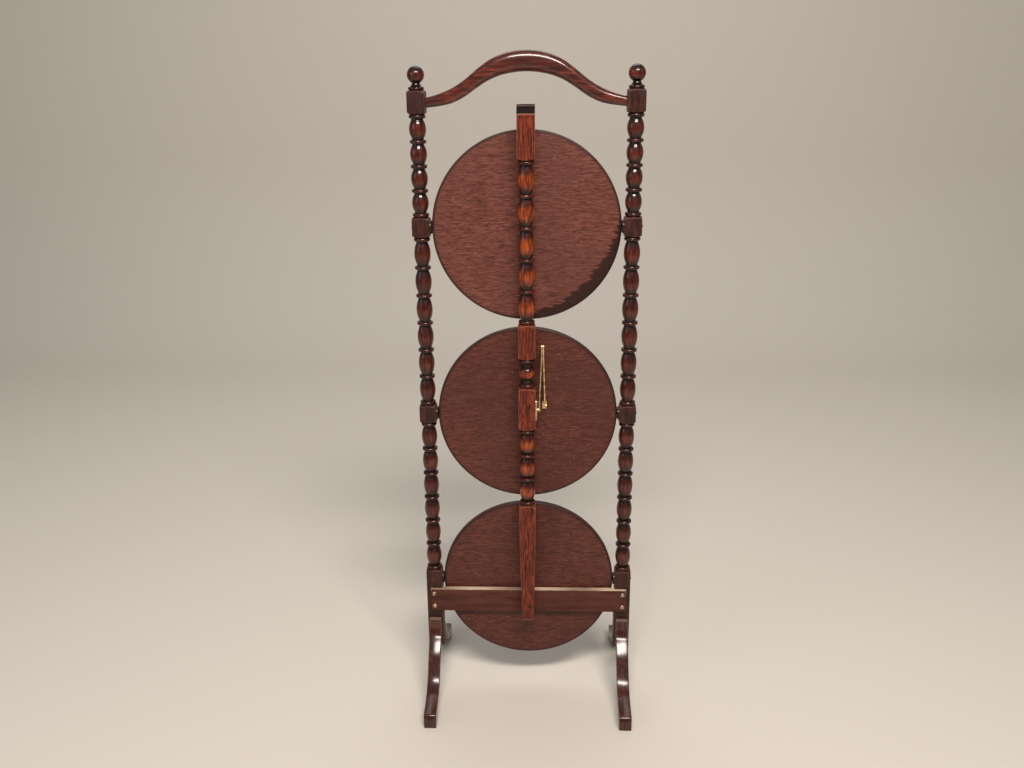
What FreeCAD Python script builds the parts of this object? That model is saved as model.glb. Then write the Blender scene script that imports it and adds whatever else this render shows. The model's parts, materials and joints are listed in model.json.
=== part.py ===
import FreeCAD, Part
import math
import os

# Three-tier folding cake stand, in millimetres.
# Frame: +X to the right, +Y away from the link bar, +Z up.
# The origin is on the floor, midway between the posts. The stand is drawn folded.

V = FreeCAD.Vector
X_AXIS = V(1, 0, 0)
Y_AXIS = V(0, 1, 0)
Z_AXIS = V(0, 0, 1)
ORIGIN = V(0, 0, 0)
OVERRUN = 1.0                   # how far cutting shapes run past a face
TOUCH = 0.01                    # tolerance when picking edges by position

# ---- trays ----
TRAY_DIAMETER = 250.0
TRAY_THICKNESS = 10.0
TRAY_GAP = 11.5                 # between the edges of two folded trays
TRAY_FLOOR_GAP = 51.9           # lowest tray edge to the floor
TRAY_SIDE_GAP = 3.1             # tray edge to post face, filled by the washer
TRAY_EDGE_ROUND = 2.0
DISH_DEPTH = 2.2
DISH_LIP = 9.0                  # width of the flat lip round the dish
DISH_COVE = 2.2                 # radius of the cove between lip and dish

TRAY_RADIUS = TRAY_DIAMETER / 2
TRAY_FACE_Y = TRAY_THICKNESS / 2
TRAY_PITCH = TRAY_DIAMETER + TRAY_GAP
LOW_PIVOT_Z = TRAY_RADIUS + TRAY_FLOOR_GAP
TIERS = ("bottom", "middle", "top")
PIVOT_Z = {tier: LOW_PIVOT_Z + row * TRAY_PITCH for row, tier in enumerate(TIERS)}

# ---- posts ----
STOCK = 23.0                    # square section of the posts and the bar
HALF_STOCK = STOCK / 2
POST_X = TRAY_RADIUS + TRAY_SIDE_GAP + HALF_STOCK
POST_INNER_X = POST_X - HALF_STOCK
BLOCK_HEIGHT = 27.0             # square blocks at the pivots
TOP_BLOCK_OVER_JOINT = 15.5     # top block above and below the handle's centre line
TOP_BLOCK_UNDER_JOINT = 14.0
LOW_BLOCK_OVER_PIVOT = 16.6
HANDLE_OVER_TRAY = 33.0         # handle joint above the edge of the top tray
HANDLE_JOINT_Z = PIVOT_Z["top"] + TRAY_RADIUS + HANDLE_OVER_TRAY
SHOULDER = 5.5                  # height of the rounded shoulder at a block's end
SHOULDER_INSET = 2.0            # shoulder's end radius under half the stock
SHOULDER_BEND = 0.6             # share of the shoulder's width reached at the rest of its height

# ---- turning ----
POST_BOBBINS = (4, 6, 6)        # between the blocks, from the top down
BEAD_INSET = 0.5                # rings and bobbins under half the stock
NECK_INSET = 3.75
NECK_LENGTH = 1.5
RING_HEIGHT = 5.4
BEAD_RADIUS = HALF_STOCK - BEAD_INSET
NECK_RADIUS = HALF_STOCK - NECK_INSET
FINIAL_NECK_INSET = 6.35
FINIAL_COLLAR_INSET = 1.2
FINIAL_COLLAR_HEIGHT = 4.2
FINIAL_RISE = 18.6              # ball centre above the top block
FINIAL_RADIUS = HALF_STOCK - BEAD_INSET
FINIAL_NECK_RADIUS = HALF_STOCK - FINIAL_NECK_INSET
FINIAL_COLLAR_RADIUS = HALF_STOCK - FINIAL_COLLAR_INSET

# ---- rail ----
RAIL_HEIGHT = 36.5
RAIL_THICKNESS = 8.0
RAIL_TRAY_GAP = 2.0             # folded bottom tray to the rail's back
RAIL_UNDER_TRAY = 7.6           # rail top below the open bottom tray
RAIL_END_INSET = 6.3            # rail end short of the post's outer face
RAIL_EDGE_ROUND = 1.0
RAIL_TOP_Z = LOW_PIVOT_Z - TRAY_FACE_Y - RAIL_UNDER_TRAY
RAIL_LOW_Z = RAIL_TOP_Z - RAIL_HEIGHT
RAIL_BACK_Y = -(TRAY_FACE_Y + RAIL_TRAY_GAP)
RAIL_FRONT_Y = RAIL_BACK_Y - RAIL_THICKNESS
RAIL_HALF_LENGTH = POST_X + HALF_STOCK - RAIL_END_INSET
RAIL_SCREW_SPREAD = 10.2        # each screw above or below the rail's middle
RAIL_SCREW_RADIUS = 1.8
RAIL_SCREW_HEAD_RADIUS = 3.4
RAIL_SCREW_HEAD_HEIGHT = 2.2
RAIL_SCREW_IN_POST = 9.0
SLOT_WIDTH = 0.9
SLOT_DEPTH = 0.9

# ---- legs ----
LEG_WIDTH = 18.0
LEG_TOP_UNDER_RAIL = 13.5
LEG_JOINT_HEIGHT = 47.3         # height of the leg against the post
LEG_FRONT_Y = 121.0             # toe distance from the post's centre
LEG_EDGE_ROUND = 1.2
LEG_TOP_Z = RAIL_LOW_Z - LEG_TOP_UNDER_RAIL
POST_FOOT_Z = LEG_TOP_Z - LEG_JOINT_HEIGHT
# Upper edge of a leg: share of the reach beyond the post, share of the leg's height.
LEG_UPPER_EDGE = (
    (0.055, 1.000), (0.062, 0.890), (0.100, 0.795), (0.175, 0.722), (0.290, 0.606),
    (0.372, 0.488), (0.468, 0.365), (0.565, 0.290), (0.681, 0.240), (0.836, 0.205),
    (0.975, 0.188),
)
# Lower edge of a leg, from the heel of the toe up to the post.
LEG_LOWER_EDGE = (
    (0.872, 0.000), (0.824, 0.062), (0.700, 0.108), (0.550, 0.180), (0.430, 0.290),
    (0.320, 0.425), (0.215, 0.540), (0.100, 0.595),
)
TOE_ROUND_SHARE = 0.168         # height where the toe's end face begins
DOWEL_RADIUS = 2.5
DOWEL_OFF_AXIS = 2.5            # inner end of a dowel from the post's axis
DOWEL_IN_POST = HALF_STOCK - DOWEL_OFF_AXIS
DOWEL_IN_LEG = 8.0
DOWEL_HEIGHTS = (6.0, 18.0)     # above the post's foot

# ---- handle ----
HANDLE_RISE = 49.9              # centre line, from the ends to the middle
# Stations: share of the half span, share of the rise, depth, width.
HANDLE_STATIONS = (
    (0.00, 1.000, 26.0, 20.0), (0.13, 0.974, 26.0, 20.0), (0.25, 0.903, 25.3, 19.5),
    (0.37, 0.771, 24.1, 19.0), (0.49, 0.569, 22.6, 18.2), (0.61, 0.343, 20.8, 17.2),
    (0.73, 0.176, 18.5, 16.0), (0.85, 0.076, 15.6, 14.5), (1.00, 0.000, 12.6, 13.0),
)
HANDLE_ROUND_SHARE = 0.34       # corner radius as a share of the width
HANDLE_TENON_RADIUS = 4.5
HANDLE_TENON_LENGTH = 10.0

# ---- tray pivots ----
PIVOT_PIN_RADIUS = 1.8
PIVOT_HEAD_RADIUS = 3.3
PIVOT_HEAD_HEIGHT = 1.8
PIVOT_PIN_IN_TRAY = 18.0
WASHER_RADIUS = 9.0
WASHER_TRAY_GAP = 0.3
WASHER_ROUND = 1.0

# ---- link bar ----
KNUCKLE_OFF_TRAY = 2.6          # hinge axis in front of the tray face
BAR_BOBBINS = (5, 3)            # upper and lower turned lengths
BAR_BALL_INSET = 0.3            # single ball of the middle turned length, inside the stock
BAR_BALL_NECK_INSET = 5.0
BAR_BALL_RADIUS = HALF_STOCK - BAR_BALL_INSET
BAR_BALL_NECK_RADIUS = HALF_STOCK - BAR_BALL_NECK_INSET
BAR_RAIL_GAP = 0.5              # bar back to the rail's front
BAR_RIM_CLEARANCE = 1.2         # bar back to tray edge when open
BAR_FLOOR_CLEARANCE = 2.0       # bar foot above the floor when open
BAR_OFF_TRAY = RAIL_TRAY_GAP + RAIL_THICKNESS + BAR_RAIL_GAP
KNUCKLE_Y = TRAY_FACE_Y + KNUCKLE_OFF_TRAY
BAR_BACK_Y = TRAY_FACE_Y + BAR_OFF_TRAY
BAR_AXIS_Y = -(BAR_BACK_Y + HALF_STOCK)
HINGE_RISE = TRAY_RADIUS + BAR_RIM_CLEARANCE - BAR_BACK_Y + KNUCKLE_Y
HINGE_Z = {tier: PIVOT_Z[tier] + HINGE_RISE for tier in TIERS}
BAR_FOOT_Z = HINGE_RISE + KNUCKLE_Y + BAR_FLOOR_CLEARANCE
BAR_TOP_UNDER_JOINT = 2.0
BAR_TOP_Z = HANDLE_JOINT_Z - BAR_TOP_UNDER_JOINT
BAR_BEVEL = 11.0                # sloped front of the bar's top end
BAR_FOOT_WIDTH = 15.8
BAR_BLOCK_UNDER_TOP_HINGE = 30.5
BAR_BLOCK_OVER_MIDDLE_HINGE = 17.8
BAR_BLOCK_UNDER_MIDDLE_HINGE = 30.6
BAR_BLOCK_OVER_STAY = 33.5
BAR_BLOCK_UNDER_STAY = 28.0
BAR_FOOT_OVER_BOTTOM_HINGE = 16.3

# ---- hinges ----
HINGE_WIDTH = 19.0
LEAF_THICKNESS = 1.2
LEAF_LENGTH = 20.0
KNUCKLE_RADIUS = 2.2
KNUCKLE_MIDDLE_WIDTH = 6.0
KNUCKLE_END_GAP = 0.3
HINGE_PIN_RADIUS = 1.0
LEAF_BACK = KNUCKLE_OFF_TRAY    # leaf outer face from the hinge axis
PAD_LENGTH = 21.0
PAD_UNDER_AXIS = 3.0
PAD_THICKNESS = BAR_OFF_TRAY - 2 * LEAF_BACK
SCREW_RADIUS = 1.0
SCREW_HEAD_RADIUS = 1.9
SCREW_HEAD_SET = 0.05           # head below the face of the leaf
HINGE_SCREW_X = 5.5
HINGE_SCREW_DROP = 13.0
TRAY_SCREW_LENGTH = 7.5
BAR_SCREW_LENGTH = 14.0

# ---- folding stay ----
STAY_BAR_DROP = 104.3           # stay pivot on the bar, below the middle hinge
STAY_TRAY_DROP = 104.3          # stay pivot on the tray, below the middle hinge
STAY_OFF_TRAY = 4.6             # tray pivot in front of the tray face
STAY_KNEE_OPEN_DEG = 131.0      # knee angle with the trays level
STAY_ARM_WIDTH = 5.0
STAY_ARM_THICKNESS = 1.6
STAY_ARM_CRANK = 12.0           # flat length at each end of an arm
STAY_PLATE_THICKNESS = 2.0
STAY_PLATE_HEIGHT = 29.0
STAY_PLATE_WIDTH = 10.0
STAY_PLATE_CORNER = 2.0
STAY_PLATE_SCREW_SPREAD = 10.5
STAY_SCREW_LENGTH = 10.0
BAR_ARM_LOW_X = 16.2
BAR_ARM_HIGH_X = 19.4
TRAY_ARM_HIGH_X = 21.6
TRAY_ARM_LOW_X = 23.4
STAY_RIVET_RADIUS = 1.3
STAY_RIVET_HEAD_RADIUS = 2.4
STAY_RIVET_HEAD = 1.2
STAY_EYE_GAP = 0.3
STAY_EAR_WIDTH = 5.0
STAY_BASE_THICKNESS = 1.2
STAY_BASE_HEIGHT = 11.0
STAY_BASE_WIDTH = 6.0
STAY_BASE_SCREW_SPREAD = 3.2
STAY_BASE_SCREW_INSET = 2.2

# ---- fits ----
HOLE_SPARE = 0.5                # blind hole deeper than what it holds
PILOT_SPARE = 0.2               # the same for the small screws
HEAD_ROOT = 0.5                 # shank carried up into a domed head
GLUE_CLEARANCE = 0.05
SHAFT_CLEARANCE = 0.08
PILOT_CLEARANCE = 0.02
WASHER_CLEARANCE = 0.10


def span_box(x_range, y_range, z_range):
    """Box between two X, two Y and two Z values, each pair in any order."""
    low = V(min(x_range), min(y_range), min(z_range))
    high = V(max(x_range), max(y_range), max(z_range))
    size = high - low
    return Part.makeBox(size.x, size.y, size.z, low)


def rod(start, direction, radius, length):
    """Cylinder from a point along a direction."""
    return Part.makeCylinder(radius, length, start, direction)


def dome(base, direction, radius, height):
    """Low rounded head: the cap of a sphere, standing on a flat base."""
    sphere_radius = (radius ** 2 + height ** 2) / (2 * height)
    centre = base - direction * (sphere_radius - height)
    ball = Part.makeSphere(sphere_radius, centre)
    return ball.common(rod(base, direction, radius, height))


def fused(shapes):
    """One solid from several that meet."""
    return shapes[0].multiFuse(shapes[1:]).removeSplitter()


def mirrored_x(shape):
    """The same shape on the other side of the stand."""
    return shape.mirror(ORIGIN, X_AXIS)


def group(shapes):
    """Separate solids kept together in one node."""
    return Part.makeCompound(shapes)


def line(start, end):
    """Profile line between two (radius, z) pairs."""
    return Part.makeLine(V(start[0], 0, start[1]), V(end[0], 0, end[1]))


def arc(start, middle, end):
    """Profile arc through three (radius, z) pairs."""
    points = [V(p[0], 0, p[1]) for p in (start, middle, end)]
    return Part.Arc(*points).toShape()


def spun(edges, x=0.0, y=0.0):
    """Solid turned about a vertical axis from profile edges that start and end on the axis."""
    wire = Part.Wire(Part.__sortEdges__(edges))
    solid = Part.Face(wire).revolve(ORIGIN, Z_AXIS, 360)
    return solid.translated(V(x, y, 0))


def bead(z_high, z_low):
    """Profile arc of one bead between two heights on the neck."""
    return arc((NECK_RADIUS, z_high), (BEAD_RADIUS, (z_high + z_low) / 2), (NECK_RADIUS, z_low))


def turned_run(z_high, z_low, bobbins):
    """Profile of a turned length: a ring at each end, bobbins with a ring between each two."""
    rings = bobbins + 1
    necks = 2 * bobbins
    bobbin = (z_high - z_low - rings * RING_HEIGHT - necks * NECK_LENGTH) / bobbins
    edges = []
    z = z_high
    beads_and_necks = ((RING_HEIGHT, True), (NECK_LENGTH, False), (bobbin, True), (NECK_LENGTH, False))
    for index in range(bobbins):
        for height, is_bead in beads_and_necks:
            if is_bead:
                edges.append(bead(z, z - height))
            else:
                edges.append(line((NECK_RADIUS, z), (NECK_RADIUS, z - height)))
            z -= height
    edges.append(bead(z, z_low))
    return edges


def ball_run(z_high, z_low):
    """Profile of the short turned length with a ring at each end and a ball between them."""
    half = math.sqrt(BAR_BALL_RADIUS ** 2 - BAR_BALL_NECK_RADIUS ** 2)
    neck = BAR_BALL_NECK_RADIUS
    middle = (z_high + z_low) / 2
    ring_low = z_high - RING_HEIGHT
    ring_high = z_low + RING_HEIGHT
    return [
        bead(z_high, ring_low),
        line((NECK_RADIUS, ring_low), (neck, ring_low - NECK_LENGTH)),
        line((neck, ring_low - NECK_LENGTH), (neck, middle + half)),
        arc((neck, middle + half), (BAR_BALL_RADIUS, middle), (neck, middle - half)),
        line((neck, middle - half), (neck, ring_high + NECK_LENGTH)),
        line((neck, ring_high + NECK_LENGTH), (NECK_RADIUS, ring_high)),
        bead(ring_high, z_low),
    ]


def shoulder_envelope(z_high, z_low, x, y, round_high=True, round_low=True):
    """Turned envelope that rounds the corners of a square length where the turning begins."""
    corner = HALF_STOCK * math.sqrt(2) + OVERRUN
    start = HALF_STOCK - SHOULDER_INSET
    middle = start + (corner - start) * SHOULDER_BEND
    drop = SHOULDER * (1 - SHOULDER_BEND)
    edges = []
    if round_high:
        edges.append(line((0, z_high), (start, z_high)))
        edges.append(arc((start, z_high), (middle, z_high - drop), (corner, z_high - SHOULDER)))
        upper = z_high - SHOULDER
    else:
        upper = z_high + OVERRUN
        edges.append(line((0, upper), (corner, upper)))
    lower = z_low + SHOULDER if round_low else z_low - OVERRUN
    edges.append(line((corner, upper), (corner, lower)))
    if round_low:
        edges.append(arc((corner, lower), (middle, z_low + drop), (start, z_low)))
        edges.append(line((start, z_low), (0, z_low)))
    else:
        edges.append(line((corner, lower), (0, lower)))
    edges.append(line((0, z_low if round_low else lower), (0, z_high if round_high else upper)))
    return spun(edges, x, y)


def square_block(z_high, z_low, x, y, round_high=True, round_low=True):
    """Square length of a turned post with rounded shoulders."""
    square = span_box((x - HALF_STOCK, x + HALF_STOCK), (y - HALF_STOCK, y + HALF_STOCK), (z_low, z_high))
    return square.common(shoulder_envelope(z_high, z_low, x, y, round_high, round_low))


def finial_profile(z_base):
    """Profile of the ball finial above the top block, from the axis down to the block."""
    centre = z_base + FINIAL_RISE
    drop = math.sqrt(FINIAL_RADIUS ** 2 - FINIAL_NECK_RADIUS ** 2)
    collar_high = z_base + FINIAL_COLLAR_HEIGHT
    rim = FINIAL_COLLAR_RADIUS - FINIAL_COLLAR_HEIGHT / 2
    ball_low = centre - drop
    waist = (FINIAL_NECK_RADIUS + (rim - FINIAL_NECK_RADIUS) / 4, (ball_low + collar_high) / 2)
    return [
        arc((0, centre + FINIAL_RADIUS), (FINIAL_RADIUS, centre), (FINIAL_NECK_RADIUS, ball_low)),
        arc((FINIAL_NECK_RADIUS, ball_low), waist, (rim, collar_high)),
        arc((rim, collar_high), (FINIAL_COLLAR_RADIUS, z_base + FINIAL_COLLAR_HEIGHT / 2), (rim, z_base)),
        line((rim, z_base), (NECK_RADIUS, z_base)),
    ]


def countersunk_screw(start, direction, length, radius_extra=0.0):
    """Countersunk screw from the face of a leaf; the extra radius turns it into its own hole."""
    head = Part.makeCone(SCREW_HEAD_RADIUS + radius_extra, SCREW_RADIUS + radius_extra,
                         LEAF_THICKNESS - SCREW_HEAD_SET, start, direction)
    shank = rod(start, direction, SCREW_RADIUS + radius_extra, length)
    return head.fuse(shank)


def leaf_screw(start, direction, length):
    """Countersunk screw set just below the leaf's face."""
    return countersunk_screw(start + direction * SCREW_HEAD_SET, direction, length)


def leaf_screw_hole(start, direction):
    """Countersunk hole through a leaf."""
    hole = countersunk_screw(start + direction * SCREW_HEAD_SET, direction,
                             LEAF_THICKNESS + OVERRUN, GLUE_CLEARANCE)
    mouth = rod(start - direction * OVERRUN, direction, SCREW_HEAD_RADIUS + GLUE_CLEARANCE,
                OVERRUN + SCREW_HEAD_SET)
    return hole.fuse(mouth)


def post_blocks():
    """Heights of the square blocks of a post, from the top down."""
    half = BLOCK_HEIGHT / 2
    return (
        (HANDLE_JOINT_Z + TOP_BLOCK_OVER_JOINT, HANDLE_JOINT_Z - TOP_BLOCK_UNDER_JOINT),
        (PIVOT_Z["top"] + half, PIVOT_Z["top"] - half),
        (PIVOT_Z["middle"] + half, PIVOT_Z["middle"] - half),
        (PIVOT_Z["bottom"] + LOW_BLOCK_OVER_PIVOT, POST_FOOT_Z),
    )


def turned_post():
    """Right-hand post before any joint is cut."""
    blocks = post_blocks()
    edges = finial_profile(blocks[0][0])
    edges.append(line((NECK_RADIUS, blocks[0][0]), (NECK_RADIUS, blocks[0][1])))
    for bobbins, upper, lower in zip(POST_BOBBINS, blocks, blocks[1:]):
        edges += turned_run(upper[1], lower[0], bobbins)
        edges.append(line((NECK_RADIUS, lower[0]), (NECK_RADIUS, lower[1])))
    foot = blocks[-1][1]
    edges.append(line((NECK_RADIUS, foot), (0, foot)))
    edges.append(line((0, foot), (0, blocks[0][0] + FINIAL_RISE + FINIAL_RADIUS)))
    solids = [spun(edges, POST_X, 0)]
    for upper, lower in blocks[:-1]:
        solids.append(square_block(upper, lower, POST_X, 0))
    solids.append(square_block(blocks[-1][0], foot, POST_X, 0, round_low=False))
    return fused(solids)


def rail_screw_points():
    """Centres of the rail screws at the right-hand end, on the rail's front face."""
    middle = (RAIL_TOP_Z + RAIL_LOW_Z) / 2
    return [V(POST_X, RAIL_FRONT_Y, middle + side * RAIL_SCREW_SPREAD) for side in (-1, 1)]


def dowel_starts():
    """Start of each dowel of the right-hand post with its direction out of the post."""
    starts = []
    for side in (-1, 1):
        for height in DOWEL_HEIGHTS:
            inner_y = side * (HALF_STOCK - DOWEL_IN_POST)
            starts.append((V(POST_X, inner_y, POST_FOOT_Z + height), Y_AXIS * side))
    return starts


def make_post():
    """Right-hand post with its joints cut."""
    post = turned_post()
    cuts = []
    for tier in TIERS:
        start = V(POST_INNER_X - OVERRUN, 0, PIVOT_Z[tier])
        cuts.append(rod(start, X_AXIS, PIVOT_PIN_RADIUS + GLUE_CLEARANCE, STOCK + 2 * OVERRUN))
    cuts.append(rod(V(POST_INNER_X - OVERRUN, 0, HANDLE_JOINT_Z), X_AXIS,
                    HANDLE_TENON_RADIUS + GLUE_CLEARANCE, HANDLE_TENON_LENGTH + OVERRUN + HOLE_SPARE))
    cuts.append(span_box((POST_INNER_X - OVERRUN, RAIL_HALF_LENGTH + GLUE_CLEARANCE),
                         (-HALF_STOCK - OVERRUN, RAIL_BACK_Y),
                         (RAIL_LOW_Z - GLUE_CLEARANCE, RAIL_TOP_Z + GLUE_CLEARANCE)))
    for point in rail_screw_points():
        cuts.append(rod(point, Y_AXIS, RAIL_SCREW_RADIUS + PILOT_CLEARANCE,
                        RAIL_THICKNESS + RAIL_SCREW_IN_POST + HOLE_SPARE))
    for start, direction in dowel_starts():
        cuts.append(rod(start - direction * HOLE_SPARE, direction, DOWEL_RADIUS + GLUE_CLEARANCE,
                        DOWEL_IN_POST + OVERRUN))
    return post.cut(group(cuts))


def make_rail():
    """Flat rail let into the front of both posts."""
    rail = span_box((-RAIL_HALF_LENGTH, RAIL_HALF_LENGTH), (RAIL_FRONT_Y, RAIL_BACK_Y),
                    (RAIL_LOW_Z, RAIL_TOP_Z))
    front_edges = [e for e in rail.Edges if abs(e.CenterOfMass.y - RAIL_FRONT_Y) < TOUCH]
    rail = rail.makeFillet(RAIL_EDGE_ROUND, front_edges)
    holes = []
    for point in rail_screw_points():
        for centre in (point, V(-point.x, point.y, point.z)):
            holes.append(rod(centre - Y_AXIS * OVERRUN, Y_AXIS, RAIL_SCREW_RADIUS + WASHER_CLEARANCE,
                             RAIL_THICKNESS + 2 * OVERRUN))
    return rail.cut(group(holes))


def make_rail_screws():
    """Round-headed slotted screws that hold the rail."""
    screws = []
    for point in rail_screw_points():
        head = dome(point, Y_AXIS * -1, RAIL_SCREW_HEAD_RADIUS, RAIL_SCREW_HEAD_HEIGHT)
        shank = rod(point - Y_AXIS * HEAD_ROOT, Y_AXIS, RAIL_SCREW_RADIUS,
                    RAIL_THICKNESS + RAIL_SCREW_IN_POST + HEAD_ROOT)
        slot_y = point.y - RAIL_SCREW_HEAD_HEIGHT
        reach = RAIL_SCREW_HEAD_RADIUS + OVERRUN
        slot = span_box((point.x - SLOT_WIDTH / 2, point.x + SLOT_WIDTH / 2),
                        (slot_y - OVERRUN, slot_y + SLOT_DEPTH), (point.z - reach, point.z + reach))
        screw = head.fuse(shank).cut(slot)
        screws += [screw, mirrored_x(screw)]
    return group(screws)


def leg_point(pair):
    """Point on a leg's outline from its shares of the reach and the height."""
    reach = LEG_FRONT_Y - HALF_STOCK
    return V(POST_X, HALF_STOCK + pair[0] * reach, pair[1] * LEG_TOP_Z)


def leg_edge(pairs):
    """Smooth outline edge through a list of shares."""
    curve = Part.BSplineCurve()
    curve.interpolate([leg_point(pair) for pair in pairs])
    return curve.toShape()


def make_rear_leg():
    """Right-hand rear leg: an ogee-shaped board with a square toe."""
    joint_high = V(POST_X, HALF_STOCK, LEG_TOP_Z)
    joint_low = V(POST_X, HALF_STOCK, POST_FOOT_Z)
    lower_end = leg_point(LEG_LOWER_EDGE[-1])
    toe_top = leg_point((1.0, TOE_ROUND_SHARE))
    toe_floor = leg_point((1.0, 0.0))
    edges = [
        Part.makeLine(joint_low, joint_high),
        Part.makeLine(joint_high, leg_point(LEG_UPPER_EDGE[0])),
        leg_edge(LEG_UPPER_EDGE),
        Part.makeLine(leg_point(LEG_UPPER_EDGE[-1]), toe_top),
        Part.makeLine(toe_top, toe_floor),
        Part.makeLine(toe_floor, leg_point(LEG_LOWER_EDGE[0])),
        leg_edge(LEG_LOWER_EDGE),
        Part.makeLine(lower_end, joint_low),
    ]
    face = Part.Face(Part.Wire(Part.__sortEdges__(edges)))
    leg = face.extrude(X_AXIS * LEG_WIDTH).translated(X_AXIS * (-LEG_WIDTH / 2))
    curved = [edge for edge in leg.Edges if isinstance(edge.Curve, Part.BSplineCurve)]
    curved.sort(key=lambda edge: -edge.CenterOfMass.z)
    leg = leg.makeFillet(LEG_EDGE_ROUND, curved[:2])
    holes = []
    for start, direction in dowel_starts():
        if direction.y > 0:
            holes.append(rod(start, direction, DOWEL_RADIUS + GLUE_CLEARANCE,
                             DOWEL_IN_POST + DOWEL_IN_LEG + HOLE_SPARE))
    return leg.cut(group(holes))


def make_dowels():
    """Dowels between the legs and the posts."""
    dowels = []
    for start, direction in dowel_starts():
        dowel = rod(start, direction, DOWEL_RADIUS, DOWEL_IN_POST + DOWEL_IN_LEG)
        dowels += [dowel, mirrored_x(dowel)]
    return group(dowels)


def rounded_section(x, z, depth, width):
    """Wire of a rounded rectangle across the handle at one station."""
    half_y = width / 2
    half_z = depth / 2
    radius = min(width, depth) * HANDLE_ROUND_SHARE
    diagonal = radius * (1 - math.sqrt(0.5))
    edges = []
    corners = ((1, 1), (-1, 1), (-1, -1), (1, -1))
    for index, (sy, sz) in enumerate(corners):
        flat_y = V(x, sy * (half_y - radius), z + sz * half_z)
        flat_z = V(x, sy * half_y, z + sz * (half_z - radius))
        corner = V(x, sy * (half_y - diagonal), z + sz * (half_z - diagonal))
        edges.append(Part.Arc(flat_y, corner, flat_z).toShape())
        next_y, next_z = corners[(index + 1) % 4]
        if next_z == sz:
            edges.append(Part.makeLine(flat_y, V(x, next_y * (half_y - radius), z + sz * half_z)))
        else:
            edges.append(Part.makeLine(flat_z, V(x, sy * half_y, z + next_z * (half_z - radius))))
    return Part.Wire(Part.__sortEdges__(edges))


def make_handle():
    """Bowed handle with a round tenon at each end."""
    stations = [(-share, rise, depth, width) for share, rise, depth, width in reversed(HANDLE_STATIONS[1:])]
    stations += HANDLE_STATIONS
    sections = []
    for share, rise, depth, width in stations:
        z = HANDLE_JOINT_Z + rise * HANDLE_RISE
        sections.append(rounded_section(share * POST_INNER_X, z, depth, width))
    bow = Part.makeLoft(sections, True, False)
    tenon = rod(V(POST_INNER_X - HANDLE_TENON_LENGTH, 0, HANDLE_JOINT_Z), X_AXIS,
                HANDLE_TENON_RADIUS, 2 * HANDLE_TENON_LENGTH)
    return fused([bow, tenon, mirrored_x(tenon)])


def make_tray(tier):
    """Round tray: flat underside towards the bar, shallow dish on the other face."""
    face_y = TRAY_FACE_Y
    edge = TRAY_EDGE_ROUND
    diagonal = edge * (1 - math.sqrt(0.5))
    lip = TRAY_RADIUS - DISH_LIP
    dish_y = face_y - DISH_DEPTH
    cove = DISH_COVE * (1 - math.sqrt(0.5))

    def at(radius, y):
        return V(radius, y, 0)

    edges = [
        Part.makeLine(at(0, -face_y), at(TRAY_RADIUS - edge, -face_y)),
        Part.Arc(at(TRAY_RADIUS - edge, -face_y), at(TRAY_RADIUS - diagonal, diagonal - face_y),
                 at(TRAY_RADIUS, edge - face_y)).toShape(),
        Part.makeLine(at(TRAY_RADIUS, edge - face_y), at(TRAY_RADIUS, face_y - edge)),
        Part.Arc(at(TRAY_RADIUS, face_y - edge), at(TRAY_RADIUS - diagonal, face_y - diagonal),
                 at(TRAY_RADIUS - edge, face_y)).toShape(),
        Part.makeLine(at(TRAY_RADIUS - edge, face_y), at(lip, face_y)),
        Part.Arc(at(lip, face_y), at(lip - cove, dish_y + cove), at(lip - DISH_COVE, dish_y)).toShape(),
        Part.makeLine(at(lip - DISH_COVE, dish_y), at(0, dish_y)),
        Part.makeLine(at(0, dish_y), at(0, -face_y)),
    ]
    wire = Part.Wire(Part.__sortEdges__(edges))
    tray = Part.Face(wire).revolve(ORIGIN, Y_AXIS, 360).translated(V(0, 0, PIVOT_Z[tier]))
    depth = PIVOT_PIN_IN_TRAY + HOLE_SPARE
    cuts = []
    for side in (-1, 1):
        start = V(side * (TRAY_RADIUS + OVERRUN), 0, PIVOT_Z[tier])
        cuts.append(rod(start, X_AXIS * -side, PIVOT_PIN_RADIUS + SHAFT_CLEARANCE, depth + OVERRUN))
    for point in hinge_screw_points(tier, 1):
        cuts.append(rod(point, Y_AXIS, SCREW_RADIUS + PILOT_CLEARANCE, TRAY_SCREW_LENGTH + PILOT_SPARE))
    if tier == "middle":
        for point in stay_base_screw_points():
            cuts.append(rod(point, Y_AXIS, SCREW_RADIUS + PILOT_CLEARANCE, TRAY_SCREW_LENGTH + PILOT_SPARE))
    return tray.cut(group(cuts))


def make_pivot_pins():
    """Headed pins through the posts into the edges of the trays."""
    pins = []
    outer_x = POST_X + HALF_STOCK
    length = STOCK + TRAY_SIDE_GAP + PIVOT_PIN_IN_TRAY
    for tier in TIERS:
        start = V(outer_x, 0, PIVOT_Z[tier])
        head = dome(start, X_AXIS, PIVOT_HEAD_RADIUS, PIVOT_HEAD_HEIGHT)
        shank = rod(start + X_AXIS * HEAD_ROOT, X_AXIS * -1, PIVOT_PIN_RADIUS, length + HEAD_ROOT)
        pin = head.fuse(shank)
        pins += [pin, mirrored_x(pin)]
    return group(pins)


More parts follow.
